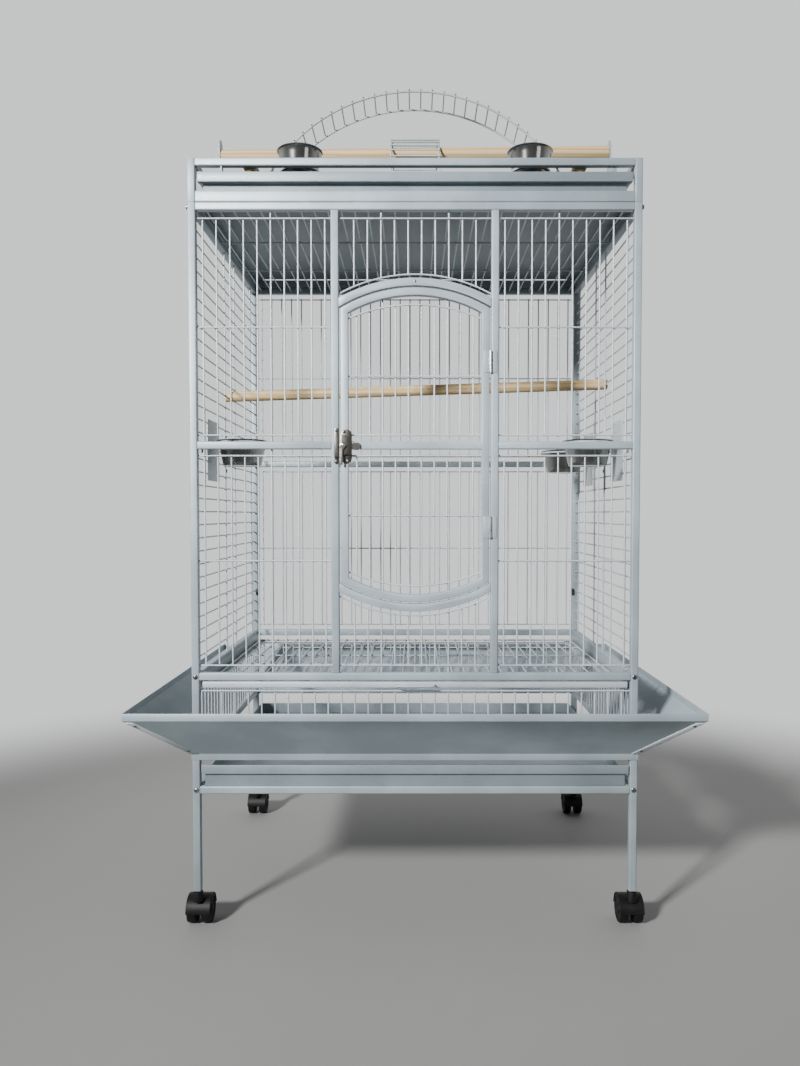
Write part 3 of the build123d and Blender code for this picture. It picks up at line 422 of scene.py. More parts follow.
def turned(profile, centre, steps, axis="Z"):
    """A turned shape about Z or X: circles at (radius, height) pairs, drawn out from one another."""
    centre = Vector(centre) * MM
    fresh()
    radius, height = profile[0]
    closed = radius == 0
    if closed:
        radius, height = profile[1]
    bpy.ops.mesh.primitive_circle_add(
        vertices=steps,
        radius=radius * MM,
        location=(0, 0, height * MM),
        fill_type="NGON" if closed else "NOTHING",
    )
    piece = made()
    settle(piece)
    editing(piece, "EDGE")
    bpy.ops.mesh.select_all(action="SELECT")
    for new_radius, new_height in profile[(2 if closed else 1):]:
        if new_radius == 0:
            bpy.ops.mesh.edge_face_add()
            break
        bpy.ops.mesh.extrude_edges_move(TRANSFORM_OT_translate={"value": (0, 0, (new_height - height) * MM)})
        ratio = new_radius / radius
        bpy.ops.transform.resize(value=(ratio, ratio, 1), center_override=(0, 0, 0))
        radius, height = new_radius, new_height
    bpy.ops.mesh.select_all(action="SELECT")
    bpy.ops.mesh.remove_doubles(threshold=1e-6)
    bpy.ops.mesh.normals_make_consistent(inside=False)
    bpy.ops.object.mode_set(mode="OBJECT")
    if axis == "X":
        piece.data.transform(Matrix.Rotation(pi / 2, 4, "Y"))
    piece.data.transform(Matrix.Translation(centre))
    return piece


def swept(section, turns, caps=True):
    """Sweeps a flat section through turns of (degrees, centre, axis, steps), or straight moves."""
    editing(section)
    bpy.ops.mesh.select_all(action="SELECT")
    for step in turns:
        if len(step) == 1:
            bpy.ops.mesh.extrude_region_move(TRANSFORM_OT_translate={"value": Vector(step[0]) * MM})
        else:
            angle, centre, axis, steps = step
            bpy.ops.mesh.spin(steps=steps, angle=-radians(angle), center=Vector(centre) * MM, axis=axis)
    bpy.ops.mesh.select_all(action="SELECT")
    bpy.ops.mesh.remove_doubles(threshold=1e-6)
    if caps:
        bpy.ops.mesh.select_all(action="DESELECT")
        bpy.ops.mesh.select_mode(type="EDGE")
        bpy.ops.mesh.select_non_manifold(extend=False)
        bpy.ops.mesh.fill_holes(sides=0)
        bpy.ops.mesh.select_all(action="SELECT")
    bpy.ops.mesh.normals_make_consistent(inside=False)
    bpy.ops.object.mode_set(mode="OBJECT")
    return section


def disc(centre, normal, radius, sides=12):
    """A flat round section to sweep."""
    fresh()
    bpy.ops.mesh.primitive_circle_add(
        vertices=sides,
        radius=radius * MM,
        fill_type="NGON",
        location=Vector(centre) * MM,
        rotation=Vector(normal).to_track_quat("Z", "Y").to_euler(),
    )
    return settle(made())


def softened(node, width, segments=2):
    """Copies a CAD node with its doubles merged and its edges rounded."""
    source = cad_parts[node]
    piece = source.copy()
    piece.data = source.data.copy()
    piece.parent = None
    for key in list(piece.keys()):
        del piece[key]
    bpy.context.scene.collection.objects.link(piece)
    editing(piece)
    bpy.ops.mesh.select_all(action="SELECT")
    bpy.ops.mesh.remove_doubles(threshold=1e-6)
    bpy.ops.mesh.dissolve_limited(angle_limit=radians(1))
    bpy.ops.object.mode_set(mode="OBJECT")
    return rounded(piece, width, segments, 30)


def spread(low, high, pitch, margin):
    """Gives evenly spaced places, centred between low and high."""
    count = int((high - low - 2 * margin) / pitch) + 1
    return [(low + high) / 2 + (k - (count - 1) / 2) * pitch for k in range(count)]


# Sizes that the pieces share: the body, then the middles of its posts and its inner faces
width, depth, tube = 813.0, 584.0, 14.0
post_x, post_y = (width - tube) / 2, (depth - tube) / 2
inside_x, inside_y = width / 2 - tube, depth / 2 - tube
front = -depth / 2

# Welded wires cross at this distance between their middles; uprights stand inside the rows
layer = 2.75
upright = post_x - layer

# Top of the floor rail and undersides of the other two, then half widths at the doorway
cage_floor, middle_rail, roof_rail = 471.5, 877.5, 1303.0
opening, stile_out, door_inner = 137.0, 151.0, 120.0

# Heights that the upper and lower bands of the doorway are bowed about
upper_centre, lower_centre = 904.49, 862.51

# Wires: spacing, the least gap at the ends, the stretches below and above the middle rail
pitch, margin, door_pitch = 24.4, 10.5, 23.4
lower_bars, upper_bars = (483.0, 867.5), (901.5, 1291.5)
wire_radius, ladder_radius, ring_radius = 1.5, 2.0, 1.9

# Feeders: hinge axis to catch, inset of the edge wires and hinge axis to bowl, along the side
bay_length, bay_edge, bowl_ahead = 179, 6.5, 104

# How far out the feeder bowls stand, and the height of their rings
bowl_x, feeder_ring = 340, 899.7

# Play top: the height of its perches and rods, and where its bowls sit
deck, play_bowl_x, play_bowl_y = 1388, 213, -232

# Welded frame: posts, stiles, rails and the arched bands round the doorway
welded = {
    "front_uprights": "front_posts",
    "back_uprights": "back_posts",
    "front_rails": "front_tubes",
    "back_rails": "back_tubes",
    "left_side_rails": "left_tubes",
    "right_side_rails": "right_tubes",
    "play_posts": "play_corner_posts",
    "play_rails": "play_frame",
}
for node, name in welded.items():
    done(softened(node, 0.7), name, coat, "cage", node)
done(softened("door_frame", 1.6, 3), "door_tube_frame", coat, "door", "door_frame")


# Wire work: rows of round rods, the crosswise ones in front and the uprights welded behind
def upright_row(xs, y, low, high):
    """A row of upright rods behind a face at y."""
    return repeated(rod((0, y, low), (0, y, high)), [(x, 0, 0) for x in xs])


def cross_row(zs, y, low, high):
    """Rods along X at several heights."""
    return repeated(rod((low, y, 0), (high, y, 0)), [(0, 0, z) for z in zs])


def arc_rod(radius, centre, half, y, upper=True):
    """A rod bowed about the middle of the doorway."""
    z = sqrt(radius**2 - half**2)
    swing = degrees(2 * atan2(half, z))
    angle = radians(swing / 2)
    side = 1 if upper else -1
    start = (-half, y, centre + side * z)
    section = disc(start, (cos(angle), 0, side * sin(angle)), wire_radius)
    return swept(section, [(swing, (0, y, centre), (0, side, 0), 28)])


low_rows = (484.5, 675.25, 866.0)
high_rows = (903.0, 1096.5, 1290.0)
side_bars = spread(stile_out, inside_x, pitch, margin)
opening_bars = spread(-opening, opening, pitch, 18.0)
arch_wire = 286.5
face_y = -post_y
bar_y = -post_y + layer

pieces = []
for side in (-1, 1):
    span = sorted((side * stile_out, side * inside_x))
    pieces.append(cross_row((*low_rows, *high_rows), face_y, *span))
    long_bar = side_bars[len(side_bars) // 2 - 1]
    short = [side * x for x in side_bars if x != long_bar]
    pieces.append(upright_row(short, bar_y, *upper_bars))
    pieces.append(upright_row(short, bar_y, *lower_bars))
    pieces.append(upright_row([side * long_bar], bar_y, middle_rail + tube - 1, roof_rail + 1))
    pieces.append(upright_row([side * long_bar], bar_y, cage_floor - 1, middle_rail + 1))
pieces.append(cross_row((484.5, 1290.0), face_y, -opening, opening))
pieces.append(arc_rod(arch_wire, upper_centre, opening, face_y))
pieces.append(arc_rod(arch_wire, lower_centre, opening, face_y, False))
for place, x in enumerate(opening_bars):
    rise = sqrt(arch_wire**2 - x**2)
    long = place in (2, len(opening_bars) - 3)
    top = roof_rail + 1 if long else upper_bars[1]
    foot = cage_floor - 1 if long else lower_bars[0]
    pieces.append(rod((x, bar_y, upper_centre + rise - wire_radius), (x, bar_y, top)))
    pieces.append(rod((x, bar_y, foot), (x, bar_y, lower_centre - rise + wire_radius)))
done(joined(pieces), "front_wires", wire_coat, "cage", "front_grille")

pieces = []
door_bars = spread(-door_inner, door_inner, door_pitch, 14.0)
pieces.append(cross_row((757.5, 866.0, 903.0, 1008.7), face_y, -door_inner - 0.5, door_inner + 0.5))
bow_rise = 25.0
bow = (door_inner**2 + bow_rise**2) / (2 * bow_rise)
top_apex, low_apex = 1136.99, 630.01
pieces.append(arc_rod(bow, top_apex - bow, door_inner, face_y))
pieces.append(arc_rod(bow, low_apex + bow, door_inner, face_y, False))
band_in = 248.0
for place, x in enumerate(door_bars):
    drop = bow - sqrt(bow**2 - x**2)
    long = place in (2, len(door_bars) - 3)
    band = sqrt(band_in**2 - x**2)
    top = upper_centre + band + 1 if long else top_apex - drop + wire_radius
    low = lower_centre - band - 1 if long else low_apex + drop - wire_radius
    pieces.append(rod((x, bar_y, upper_bars[0]), (x, bar_y, top)))
    pieces.append(rod((x, bar_y, low), (x, bar_y, lower_bars[1])))
done(joined(pieces), "door_wires", wire_coat, "door", "door_grille")

back_bars = spread(-inside_x, inside_x, pitch, margin)
pieces = [cross_row((*low_rows, *high_rows), post_y, -inside_x, inside_x)]
pieces.append(upright_row(back_bars, post_y - layer, *upper_bars))
pieces.append(upright_row(back_bars, post_y - layer, *lower_bars))
done(joined(pieces), "back_wires", wire_coat, "cage", "back_grille")

side_rows = spread(cage_floor, roof_rail, pitch, 20.0)
feeder_rows = [z for z in side_rows if 800 < z < 975]
whole_rows = [z for z in side_rows if z not in feeder_rows]
bay_in, bay_out = 45, 226
for side, name, stretches in (
    (-1, "left", [(-inside_y, -bay_out), (-bay_in, inside_y)]),
    (1, "right", [(-inside_y, -bay_out), (-bay_in, bay_in), (bay_out, inside_y)]),
):
    piece = rod((side * post_x, -inside_y, 0), (side * post_x, inside_y, 0))
    pieces = [repeated(piece, [(0, 0, z) for z in whole_rows])]
    for start, finish in stretches:
        piece = rod((side * post_x, start, 0), (side * post_x, finish, 0))
        pieces.append(repeated(piece, [(0, 0, z) for z in feeder_rows]))
    piece = rod((side * upright, 0, cage_floor - 1), (side * upright, 0, roof_rail + 1))
    bay_sides = (1 - bay_out, -bay_in - 1, bay_in + 1, bay_out - 1)
    pieces.append(repeated(piece, [(0, y, 0) for y in bay_sides]))
    done(joined(pieces), f"{name}_wires", wire_coat, "cage", f"{name}_grille")

fence_y = spread(-inside_y, inside_y, pitch, margin)
fence_foot, fence_top, fence_wire = 324.0, 439.1, 437.6
for side, name in ((-1, "front"), (1, "back")):
    pieces = [cross_row([fence_wire], side * post_y, -inside_x, inside_x)]
    pieces.append(upright_row(back_bars, side * (post_y - layer), fence_foot, fence_top))
    done(joined(pieces), f"{name}_fence_wires", wire_coat, "cage", f"{name}_fence")
pieces = []
for side in (-1, 1):
    pieces.append(rod((side * post_x, -inside_y, fence_wire), (side * post_x, inside_y, fence_wire)))
    piece = rod((side * upright, 0, fence_foot), (side * upright, 0, fence_top))
    pieces.append(repeated(piece, [(0, y, 0) for y in fence_y]))
done(joined(pieces), "side_fence_wires", wire_coat, "cage", "side_fences")

roof_wire, roof_cross, cross_y = 1310, 1307.2, 95
piece = rod((0, -inside_y, roof_wire), (0, inside_y, roof_wire))
pieces = [repeated(piece, [(x, 0, 0) for x in back_bars])]
piece = rod((-inside_x, 0, roof_cross), (inside_x, 0, roof_cross))
pieces.append(repeated(piece, [(0, -cross_y, 0), (0, cross_y, 0)]))
done(joined(pieces), "roof_wires", wire_coat, "cage", "roof_grille")


# Bowls: a deep drawn cup with a rolled rim, a rounded base and a faint step under the rim
def cup(x, y, rim, shape):
    """A stainless bowl turned about its upright axis: rim, body and base radius, and depth."""
    rim_r, body_r, base_r, deep = shape
    lean = (body_r - base_r) / deep
    profile = [
        (0, rim - deep + 1.6),
        (base_r - 9, rim - deep + 1.6),
        (base_r - 6, rim - deep + 0.4),
        (base_r - 3.5, rim - deep),
        (base_r - 1.2, rim - deep + 0.5),
        (base_r + 0.3, rim - deep + 2.2),
        (base_r + lean * 8, rim - deep + 8),
        (body_r - lean * 12, rim - 12),
        (body_r - 0.6, rim - 4.6),
        (rim_r - 2.2, rim - 3.0),
        (rim_r - 0.7, rim - 2.7),
        (rim_r, rim - 1.5),
        (rim_r - 0.7, rim - 0.3),
        (rim_r - 2.0, rim),
        (body_r + 0.4, rim - 0.6),
        (body_r - 1.4, rim - 3.2),
        (body_r - lean * 12 - 1.0, rim - 12),
        (base_r + lean * 8 - 1.0, rim - deep + 9),
        (base_r - 0.8, rim - deep + 3.6),
        (base_r - 2.5, rim - deep + 1.6),
        (base_r - 5.5, rim - deep + 1.3),
        (base_r - 9, rim - deep + 2.6),
        (0, rim - deep + 2.6),
    ]
    return turned(profile, (x, y, 0), 72)


feeder_shape, play_shape = (50.0, 47.4, 37.0, 50.0), (42.5, 40.0, 31.0, 55.0)
feeder_rim, play_rim = 905, 1430
feeders = (("left", -1, -46.0), ("right_front", 1, -46.0), ("right_rear", 1, 225.0))
for name, side, axis_y in feeders:
    body = f"feeder_bowl_{name}"
    bowl = cup(side * bowl_x, axis_y - bowl_ahead, feeder_rim, feeder_shape)
    done(bowl, f"{body}_cup", stainless, body, body, angle=50)
for side, body in ((-1, "play_bowl_left"), (1, "play_bowl_right")):
    bowl = cup(side * play_bowl_x, play_bowl_y, play_rim, play_shape)
    done(bowl, f"{body}_cup", stainless, body, body, angle=50)


# Rings: a round rod bent into a circle
def hoop(x, y, z, radius):
    """A rod bent into a level ring about (x, y)."""
    section = disc((x + radius, y, z), (0, 1, 0), ring_radius, 14)
    return swept(section, [(360, (x, y, z), (0, 0, 1), 56)], False)


# Swing-out feeder doors: wires, guard plate, bowl ring, hinge loops and a catch
eye = [(3.2, -3.3), (3.2, 3.3), (2.9, 3.5), (1.65, 3.5), (1.65, -3.5), (2.9, -3.5), (3.2, -3.3)]
for name, side, axis_y in feeders:
    bowl_y = axis_y - bowl_ahead
    inner_y, outer_y = axis_y - bay_edge, axis_y - bay_length + bay_edge
    low, high = feeder_rows[0] - wire_radius, feeder_rows[-1] + wire_radius
    pieces = [rod((side * upright, y, low - 2), (side * upright, y, high + 2)) for y in (inner_y, outer_y)]
    piece = rod((side * post_x, outer_y - 2, 0), (side * post_x, inner_y + 1.5, 0))
    pieces.append(repeated(piece, [(0, 0, z) for z in feeder_rows]))
    plate_low, plate_high = (side * 396.7, bowl_y - 47.5, 825), (side * 397.9, bowl_y + 47.5, 943)
    plate = bar(plate_low, plate_high, 0.4)
    pieces.append(hoop(side * bowl_x, bowl_y, feeder_ring, 50.0))
    for y in (bowl_y - 15, bowl_y + 15):
        pieces.append(rod((side * 387.5, y, feeder_ring), (side * 397.2, y, feeder_ring), ring_radius))
    for k in (1, -3):
        z = (feeder_rows[k] + feeder_rows[k + 1]) / 2
        pieces.append(turned(eye, (side * 396.45, axis_y, z), 24))
        pieces.append(bar((side * 395.6, inner_y, z - 2.6), (side * 397.3, axis_y - 1.8, z + 2.6), 0.4))
    catch = bar((side * 401.3, outer_y - 10, 876), (side * 402.8, outer_y + 18, 892), 0.5)
    pieces += [plate, catch]
    done(joined(pieces), f"feeder_frame_{name}", wire_coat, f"feeder_door_{name}", f"feeder_door_{name}")

# Trays, grate and runners
# Both trays take the darker copy of the coat: painted shade.
done(softened("lower_tray", 0.35), "lower_pan", painted_shade_tray_coat, "lower_tray", "lower_tray")
done(softened("roof_tray", 0.35), "roof_pan", painted_shade_tray_coat, "roof_tray", "roof_tray")
done(softened("runners", 0.3), "runner_angles", coat, "cage", "runners")

grate_half, grate_front, edge_radius, edge_z = 387.5, -281, 2.5, 446.5
grate_bars = spread(-grate_half + 5.05, grate_half - 5.05, pitch, margin)
pieces = [bar((-grate_half, grate_front - 8, 444), (grate_half, grate_front, 455), 1.2)]
pieces.append(rod((-grate_half, 271.5, edge_z), (grate_half, 271.5, edge_z), edge_radius, 14))
for side in (-1, 1):
    x = side * (grate_half - edge_radius)
    pieces.append(rod((x, grate_front - 1, edge_z), (x, 272, edge_z), edge_radius, 14))
step = 555.0 / 5
cross = rod((-grate_half + 3, 0, 445.6), (grate_half - 3, 0, 445.6))
pieces.append(repeated(cross, [(0, grate_front + step * (k + 1), 0) for k in range(4)]))
piece = rod((0, grate_front - 1, 448.4), (0, 273, 448.4))
pieces.append(repeated(piece, [(x, 0, 0) for x in grate_bars]))
done(joined(pieces), "floor_grate", wire_coat, "grate", "grate")

# Handle of the grate: one rod bent into a shallow U, its ends turned into the bar
pull_half, pull_bend, pull_reach, pull_z = 35.5, 6, 9.5, 449.5
turn_x, turn_y = pull_half - pull_bend, -288.5 - pull_reach
section = disc((-pull_half, -288.5, pull_z), (0, -1, 0), wire_radius, 14)
handle = swept(
    section,
    [
        ((0, -pull_reach, 0),),
        (90, (-turn_x, turn_y, pull_z), (0, 0, 1), 8),
        ((2 * turn_x, 0, 0),),
        (90, (turn_x, turn_y, pull_z), (0, 0, 1), 8),
        ((0, pull_reach, 0),),
    ],
)
done(handle, "grate_pull", wire_coat, "grate", "grate_handle")

# Seed guard
for side in ("front", "back", "left", "right"):
    done(softened(f"guard_{side}", 0.35), f"guard_panel_{side}", coat, "cage", f"guard_{side}")
# The corner strips take the lighter copy of the coat: painted light.
done(softened("corner_strips", 0.4), "guard_corner_strips", painted_light_strip_coat, "cage", "corner_strips")


# Perches and rods
def dowel(start, end, radius, ends=1.2):
    """A wooden dowel with eased ends."""
    return rod(start, end, radius, 40, ends)


perch_radius, cross_x = 12.5, 298
play_dowel = dowel((-389.7, -92, 1480), (389.7, -92, 1488.5), perch_radius)
done(play_dowel, "play_dowel", wood_x, "cage", "play_perch")
pieces = [dowel((x, -277.8, deck), (x, 277.8, deck), perch_radius) for x in (-cross_x, cross_x)]
done(joined(pieces), "cross_dowels", wood_y, "cage", "cross_perches")
pieces = [rod((-292, y, deck), (292, y, deck), 4.0, 20) for y in (-150, 150)]
done(joined(pieces), "ladder_support_rods", coat, "cage", "ladder_rods")
done(softened("perch_brackets", 0.5), "perch_end_brackets", coat, "cage", "perch_brackets", angle=30)
done(softened("keeper_tabs", 0.4), "tray_keeper_tabs", coat, "cage", "keeper_tabs")

# The cage perch leans and turns a little, and its slotted ends sit on the side wires
left_end, right_end = Vector((-post_x, -18, side_rows[21])), Vector((post_x, -30, side_rows[22]))
past = (right_end - left_end).normalized() * 5
perch = dowel(left_end - past, right_end + past, 11.0, 0.9)
slot_half = 1.8
for side, z in ((-1, left_end.z), (1, right_end.z)):
    low = (side * (post_x - slot_half), -60, z - slot_half)
    perch = carved(perch, bar(low, (side * (post_x + 20), 20, z + slot_half), 0.05, 1))
done(perch, "cage_dowel", wood_x, "cage", "cage_perch")


# Arched ladders
def ladder_places(radius, centre, step, count):
    """Gives places for rungs laid over a bowed rail."""
    over = radius + 3.25
    turns = [(k - (count - 1) / 2) * step / over for k in range(count)]
    return [(over * sin(turn), centre + over * cos(turn)) for turn in turns]


# The big ladder's rail: level foot, a bend, the bow, a bend and the other foot
bend, top, big_radius, rail_end = 8.0, 1280.0, 355, 392.3
reach = sqrt((big_radius + bend) ** 2 - (deck + bend - top) ** 2)
lean = degrees(atan2(reach, deck + bend - top))
pieces = []
for y in (-40, 40):
    section = disc((-rail_end, y, deck), (1, 0, 0), ladder_radius, 14)
    pieces.append(
        swept(
            section,
            [
                ((rail_end - reach, 0, 0),),
                (lean, (-reach, y, deck + bend), (0, -1, 0), 8),
                (2 * lean, (0, y, top), (0, 1, 0), 96),
                (lean, (reach, y, deck + bend), (0, -1, 0), 8),
                ((rail_end - reach, 0, 0),),
            ],
        )
    )
rung = rod((0, -46, 0), (0, 46, 0), wire_radius, 12, 0.3)
pieces.append(repeated(rung, [(x, 0, z) for x, z in ladder_places(big_radius, top, 24.2, 38)]))
done(joined(pieces), "big_arch_ladder", wire_coat, "cage", "big_ladder")

# The small ladder: a bow across the deck's middle, from rod to rod
pieces = []
foot, small_radius = 1394.0, 150
start = acos((foot - deck) / small_radius)
for x in (-47.5, 47.5):
    section = disc((x, -small_radius * sin(start), foot), (0, -cos(start), sin(start)), ladder_radius, 14)
    pieces.append(swept(section, [(2 * degrees(start), (x, 0, deck), (-1, 0, 0), 64)]))
rung = rod((-49.5, 0, 0), (49.5, 0, 0), wire_radius, 12, 0.3)
pieces.append(repeated(rung, [(0, y, z) for y, z in ladder_places(small_radius, deck, 20.0, 23)]))
done(joined(pieces), "small_arch_ladder", wire_coat, "cage", "small_ladder")

# Rings under the play bowls, with two arms each to the front rail
pieces = []
play_ring = 1390
for x in (-play_bowl_x, play_bowl_x):
    pieces.append(hoop(x, play_bowl_y, play_ring, 36.2))
    for arm_x in (x - 10, x + 10):
        pieces.append(rod((arm_x, -278.3, play_ring), (arm_x, -266, play_ring), ring_radius, 14))
done(joined(pieces), "play_bowl_rings", wire_coat, "cage", "bowl_rings")


# Butt hinges: three turned knuckles with a headed pin, and two thin leaves
hinge_x, hinge_y, knuckle = 135.5, front - 2.65, 13.0
hinge_tall, leaf_face, leaf_soft = 3 * knuckle, front - 1.2, 0.35
outer_profile = [(0, 0), (2.2, 0), (2.6, 0.4), (2.6, 12.6), (2.2, 13.0), (0, 13.0)]
inner_profile = [(2.6, 0.3), (2.6, 12.7), (2.3, 12.9), (1.4, 12.9), (1.4, 0.1), (2.3, 0.1), (2.6, 0.3)]
outer_knuckles, outer_leaves, inner_knuckles, inner_leaves = [], [], [], []
for z in (717.0, 1014.0):
    for low in (z, z + 2 * knuckle):
        outer_knuckles.append(turned(outer_profile, (hinge_x, hinge_y, low), 24))
    for cap, lift in ((z - 0.9, 1), (z + 39.9, -1)):
        profile = [(0, 0), (1.2, 0), (1.7, lift * 0.4), (1.7, lift), (0, lift)]
        outer_knuckles.append(turned(profile, (hinge_x, hinge_y, cap), 20))
    outer_leaves.append(bar((138, leaf_face, z), (147.5, front + 0.1, z + hinge_tall), leaf_soft))
    for low in (z, z + 2 * knuckle):
        leaf_low, leaf_high = (136.0, front - 1.4, low), (139, front - 0.2, low + knuckle)
        outer_leaves.append(bar(leaf_low, leaf_high, leaf_soft))
    inner_knuckles.append(turned(inner_profile, (hinge_x, hinge_y, z + knuckle), 24))
    inner_leaves.append(bar((123.5, leaf_face, z), (133, front + 0.1, z + hinge_tall), leaf_soft))
    leaf_low, leaf_high = (132.2, front - 1.4, z + 13.4), (135, front - 0.2, z + 25.6)
    inner_leaves.append(bar(leaf_low, leaf_high, leaf_soft))
done(joined(outer_leaves), "stile_hinge_leaves", coat, "cage", "stile_hinges")
# The knuckles take the near-white steel: a painted highlight.
done(joined(outer_knuckles), "stile_hinge_knuckles", painted_highlight_hinge_steel, "cage", slot="screw_steel")
done(joined(inner_leaves), "door_hinge_leaves", coat, "door", "door_hinges")
done(joined(inner_knuckles), "door_hinge_knuckles", painted_highlight_hinge_steel, "door", slot="screw_steel")


def head(x, z, y, radius, rise):
    """A domed screw head facing the door side, with a cross recess."""
    shoulder, crown = (radius * 0.82, rise * 0.75), (radius * 0.5, rise)
    dome = turned([(radius, 0), (radius, rise * 0.3), shoulder, crown, (0, rise)], (0, 0, 0), 24)
    editing(dome)
    pick(dome, lambda centre, normal: normal.z > 0.97)
    bpy.ops.mesh.inset(thickness=radius * 0.12 * MM, depth=0)
    bpy.ops.object.mode_set(mode="OBJECT")
    for half_x, half_y in ((radius * 0.5, radius * 0.13), (radius * 0.13, radius * 0.5)):
        slot = bar((-half_x, -half_y, rise * 0.35), (half_x, half_y, rise * 1.6), 0.02, 1)
        dome = carved(dome, slot)
    turn = Matrix.Rotation(pi / 2, 4, "X")
    dome.data.transform(Matrix.Translation(Vector((x, y, z)) * MM) @ turn)
    return dome


# Latch: strike on the stile, housing on the door, and the chrome lever between them
def plate_outline(points, y, thick, soften=0.35):
    """A flat plate facing the door side, from the corners of its outline."""
    fresh()
    bpy.ops.mesh.primitive_plane_add(size=0.001)
    piece = made()
    editing(piece, "VERT")
    bpy.ops.mesh.select_all(action="SELECT")
    bpy.ops.mesh.merge(type="CENTER")
    bpy.ops.transform.translate(value=Vector((points[0][0], y, points[0][1])) * MM)
    for (x0, z0), (x1, z1) in zip(points, points[1:]):
        bpy.ops.mesh.extrude_region_move(TRANSFORM_OT_translate={"value": Vector((x1 - x0, 0, z1 - z0)) * MM})
    bpy.ops.mesh.select_all(action="SELECT")
    bpy.ops.mesh.edge_face_add()
    bpy.ops.mesh.extrude_region_move(TRANSFORM_OT_translate={"value": Vector((0, -thick, 0)) * MM})
    bpy.ops.mesh.select_all(action="SELECT")
    bpy.ops.mesh.normals_make_consistent(inside=False)
    bpy.ops.object.mode_set(mode="OBJECT")
    return rounded(piece, soften, 2, 50)


def arc_points(x, z, radius, start, finish, steps=8):
    """Points along an arc in the plane of the door."""
    turns = [radians(start + (finish - start) * k / steps) for k in range(steps + 1)]
    return [(x + radius * cos(t), z + radius * sin(t)) for t in turns]


def stadium(x, low, high, wide):
    """The outline of an upright plate with round ends."""
    radius = wide / 2
    upper = arc_points(x, high - radius, radius, 0, 180)
    return upper + arc_points(x, low + radius, radius, 180, 360)


latch_x, latch_z, strike_x = -128.3, 884.0, -141.3
cover_back, cover_front = -296.5, -298.0
channel_left, channel_low, channel_high = -145.3, 862.9, 896.9
pieces = [plate_outline(stadium(strike_x, 850.5, 915.5, 8.0), front, 1.5)]
channel_foot = (channel_left, cover_front, channel_low)
pieces.append(bar(channel_foot, (-143.5, -293.3, channel_high), 0.5, 3))
pieces.append(bar(channel_foot, (-137.4, cover_back, channel_high), 0.5, 3))
pieces += [head(strike_x, z, front - 1.5, 3.2, 1.1) for z in (911.0, 855.2)]
done(joined(pieces), "latch_strike", latch_steel, "cage", "strike")

body_left, body_right = -133.8, -113.4
body_wide = 20.4
pieces = [plate_outline(stadium(-123.6, 851, 913, body_wide), front, 1.5)]
cover = [(body_left, 866.5), (body_left, 903)]
for turn in map(radians, range(10, 91, 10)):
    cover.append((body_left + body_wide * sin(turn), 903 - 8 + 8 * cos(turn)))
cover.append((body_right, 872))
for turn in map(radians, range(10, 90, 10)):
    cover.append((body_right - body_wide * (1 - cos(turn)), 872 - 5.6 * sin(turn)))
shell = plate_outline(cover, cover_back, 1.5, 0.45)
bore = rod((latch_x, -300, latch_z), (latch_x, -294, latch_z), 3.1, 24, 0.01)
pieces.append(carved(shell, bore))
pieces.append(bar((body_left, -297, 896), (body_left + 5, -293.3, 902.6), 0.4))
pieces.append(bar((body_right - 7, -297, 866.6), (body_right, -293.3, 873), 0.4))
pieces += [head(-127.5, 908.4, front - 1.5, 3.0, 1.1), head(-121.0, 856.2, front - 1.5, 3.0, 1.1)]
done(joined(pieces), "latch_housing", latch_steel, "door", "latch_body")

# The lever: inner plate with its nose and thumb tab, shaft, boss and hanging tail
tab_tip, tab_root, nose_x = latch_x + 29.6, body_right + 1.2, latch_x - 8.7
inner = [(nose_x, 879.5), (latch_x - 4, 878.6), (latch_x + 1, 879.3), (tab_root, 879.5), (tab_root, 876)]
inner += [(tab_tip - 3, 875)]
inner += arc_points(tab_tip - 4, 879.5, 4, -80, 0, 4)
inner += arc_points(tab_tip - 4, 885, 4, 0, 80, 4)
inner += [(tab_root, 889), (tab_root, 887.5), (latch_x + 3, 887.5)]
inner += arc_points(latch_x, latch_z, 5, 45, 150, 6) + [(nose_x, 883)]
pieces = [plate_outline(inner, -293.8, 2.2, 0.5)]
pieces.append(rod((latch_x, -295, latch_z), (latch_x, -299, latch_z), 3.0, 24, 0.1))
tail = arc_points(latch_x, latch_z, 4.9, -60, 235, 16)
tail += [(latch_x - 4.9, 876), (latch_x - 5.0, 852)]
tail += arc_points(latch_x - 3.2, 850, 1.8, 200, 340, 5) + [(latch_x - 1.3, 875)]
pieces.append(plate_outline(tail, -298.3, 2.7, 0.7))
profile = [(2.6, 0), (2.6, 0.5), (2.0, 0.9), (0, 0.9)]
rivet = turned(profile, (0, 0, 0), 20)
rivet.data.transform(Matrix.Rotation(pi / 2, 4, "X"))
rivet.data.transform(Matrix.Translation(Vector((latch_x, -301.0, latch_z)) * MM))
pieces.append(rivet)
done(joined(pieces), "latch_chrome_lever", chrome, "latch_lever", "latch_lever")

# Screws and bolts: cross-headed screws on the posts and the guard, flanged bolts by the roof
pieces = []
sample = head(0, 0, 0, 4.6, 1.9)
for side in (-1, 1):
    for z in (256.0, 464.0):
        pieces.append(twin(sample, (side * post_x, front, z)))
        pieces.append(twin(sample, (side * post_x, -front, z), Matrix.Rotation(pi, 4, "Z")))
guard_rise, guard_out, guard_foot, lift = 83.0, 93.8, 323.7, 1.3
slope = atan2(guard_rise, guard_out)
for face in (-1, 1):
    for side in (-1, 1):
        for out in (11.0, 83.0):
            x = side * (width / 2 - 0.2 + out - 7.5)
            y = face * (depth / 2 + out) + face * sin(slope) * lift
            z = guard_foot + (out - 1.2) * tan(slope) - cos(slope) * lift
            small = twin(sample, (0, 0, 0), Matrix.Diagonal((0.68, 0.68, 0.68, 1)))
            normal = Vector((0, face * sin(slope), -cos(slope)))
            aim = normal.to_track_quat("-Y", "Z").to_matrix().to_4x4()
            small.data.transform(Matrix.Translation(Vector((x, y, z)) * MM) @ aim)
            pieces.append(small)
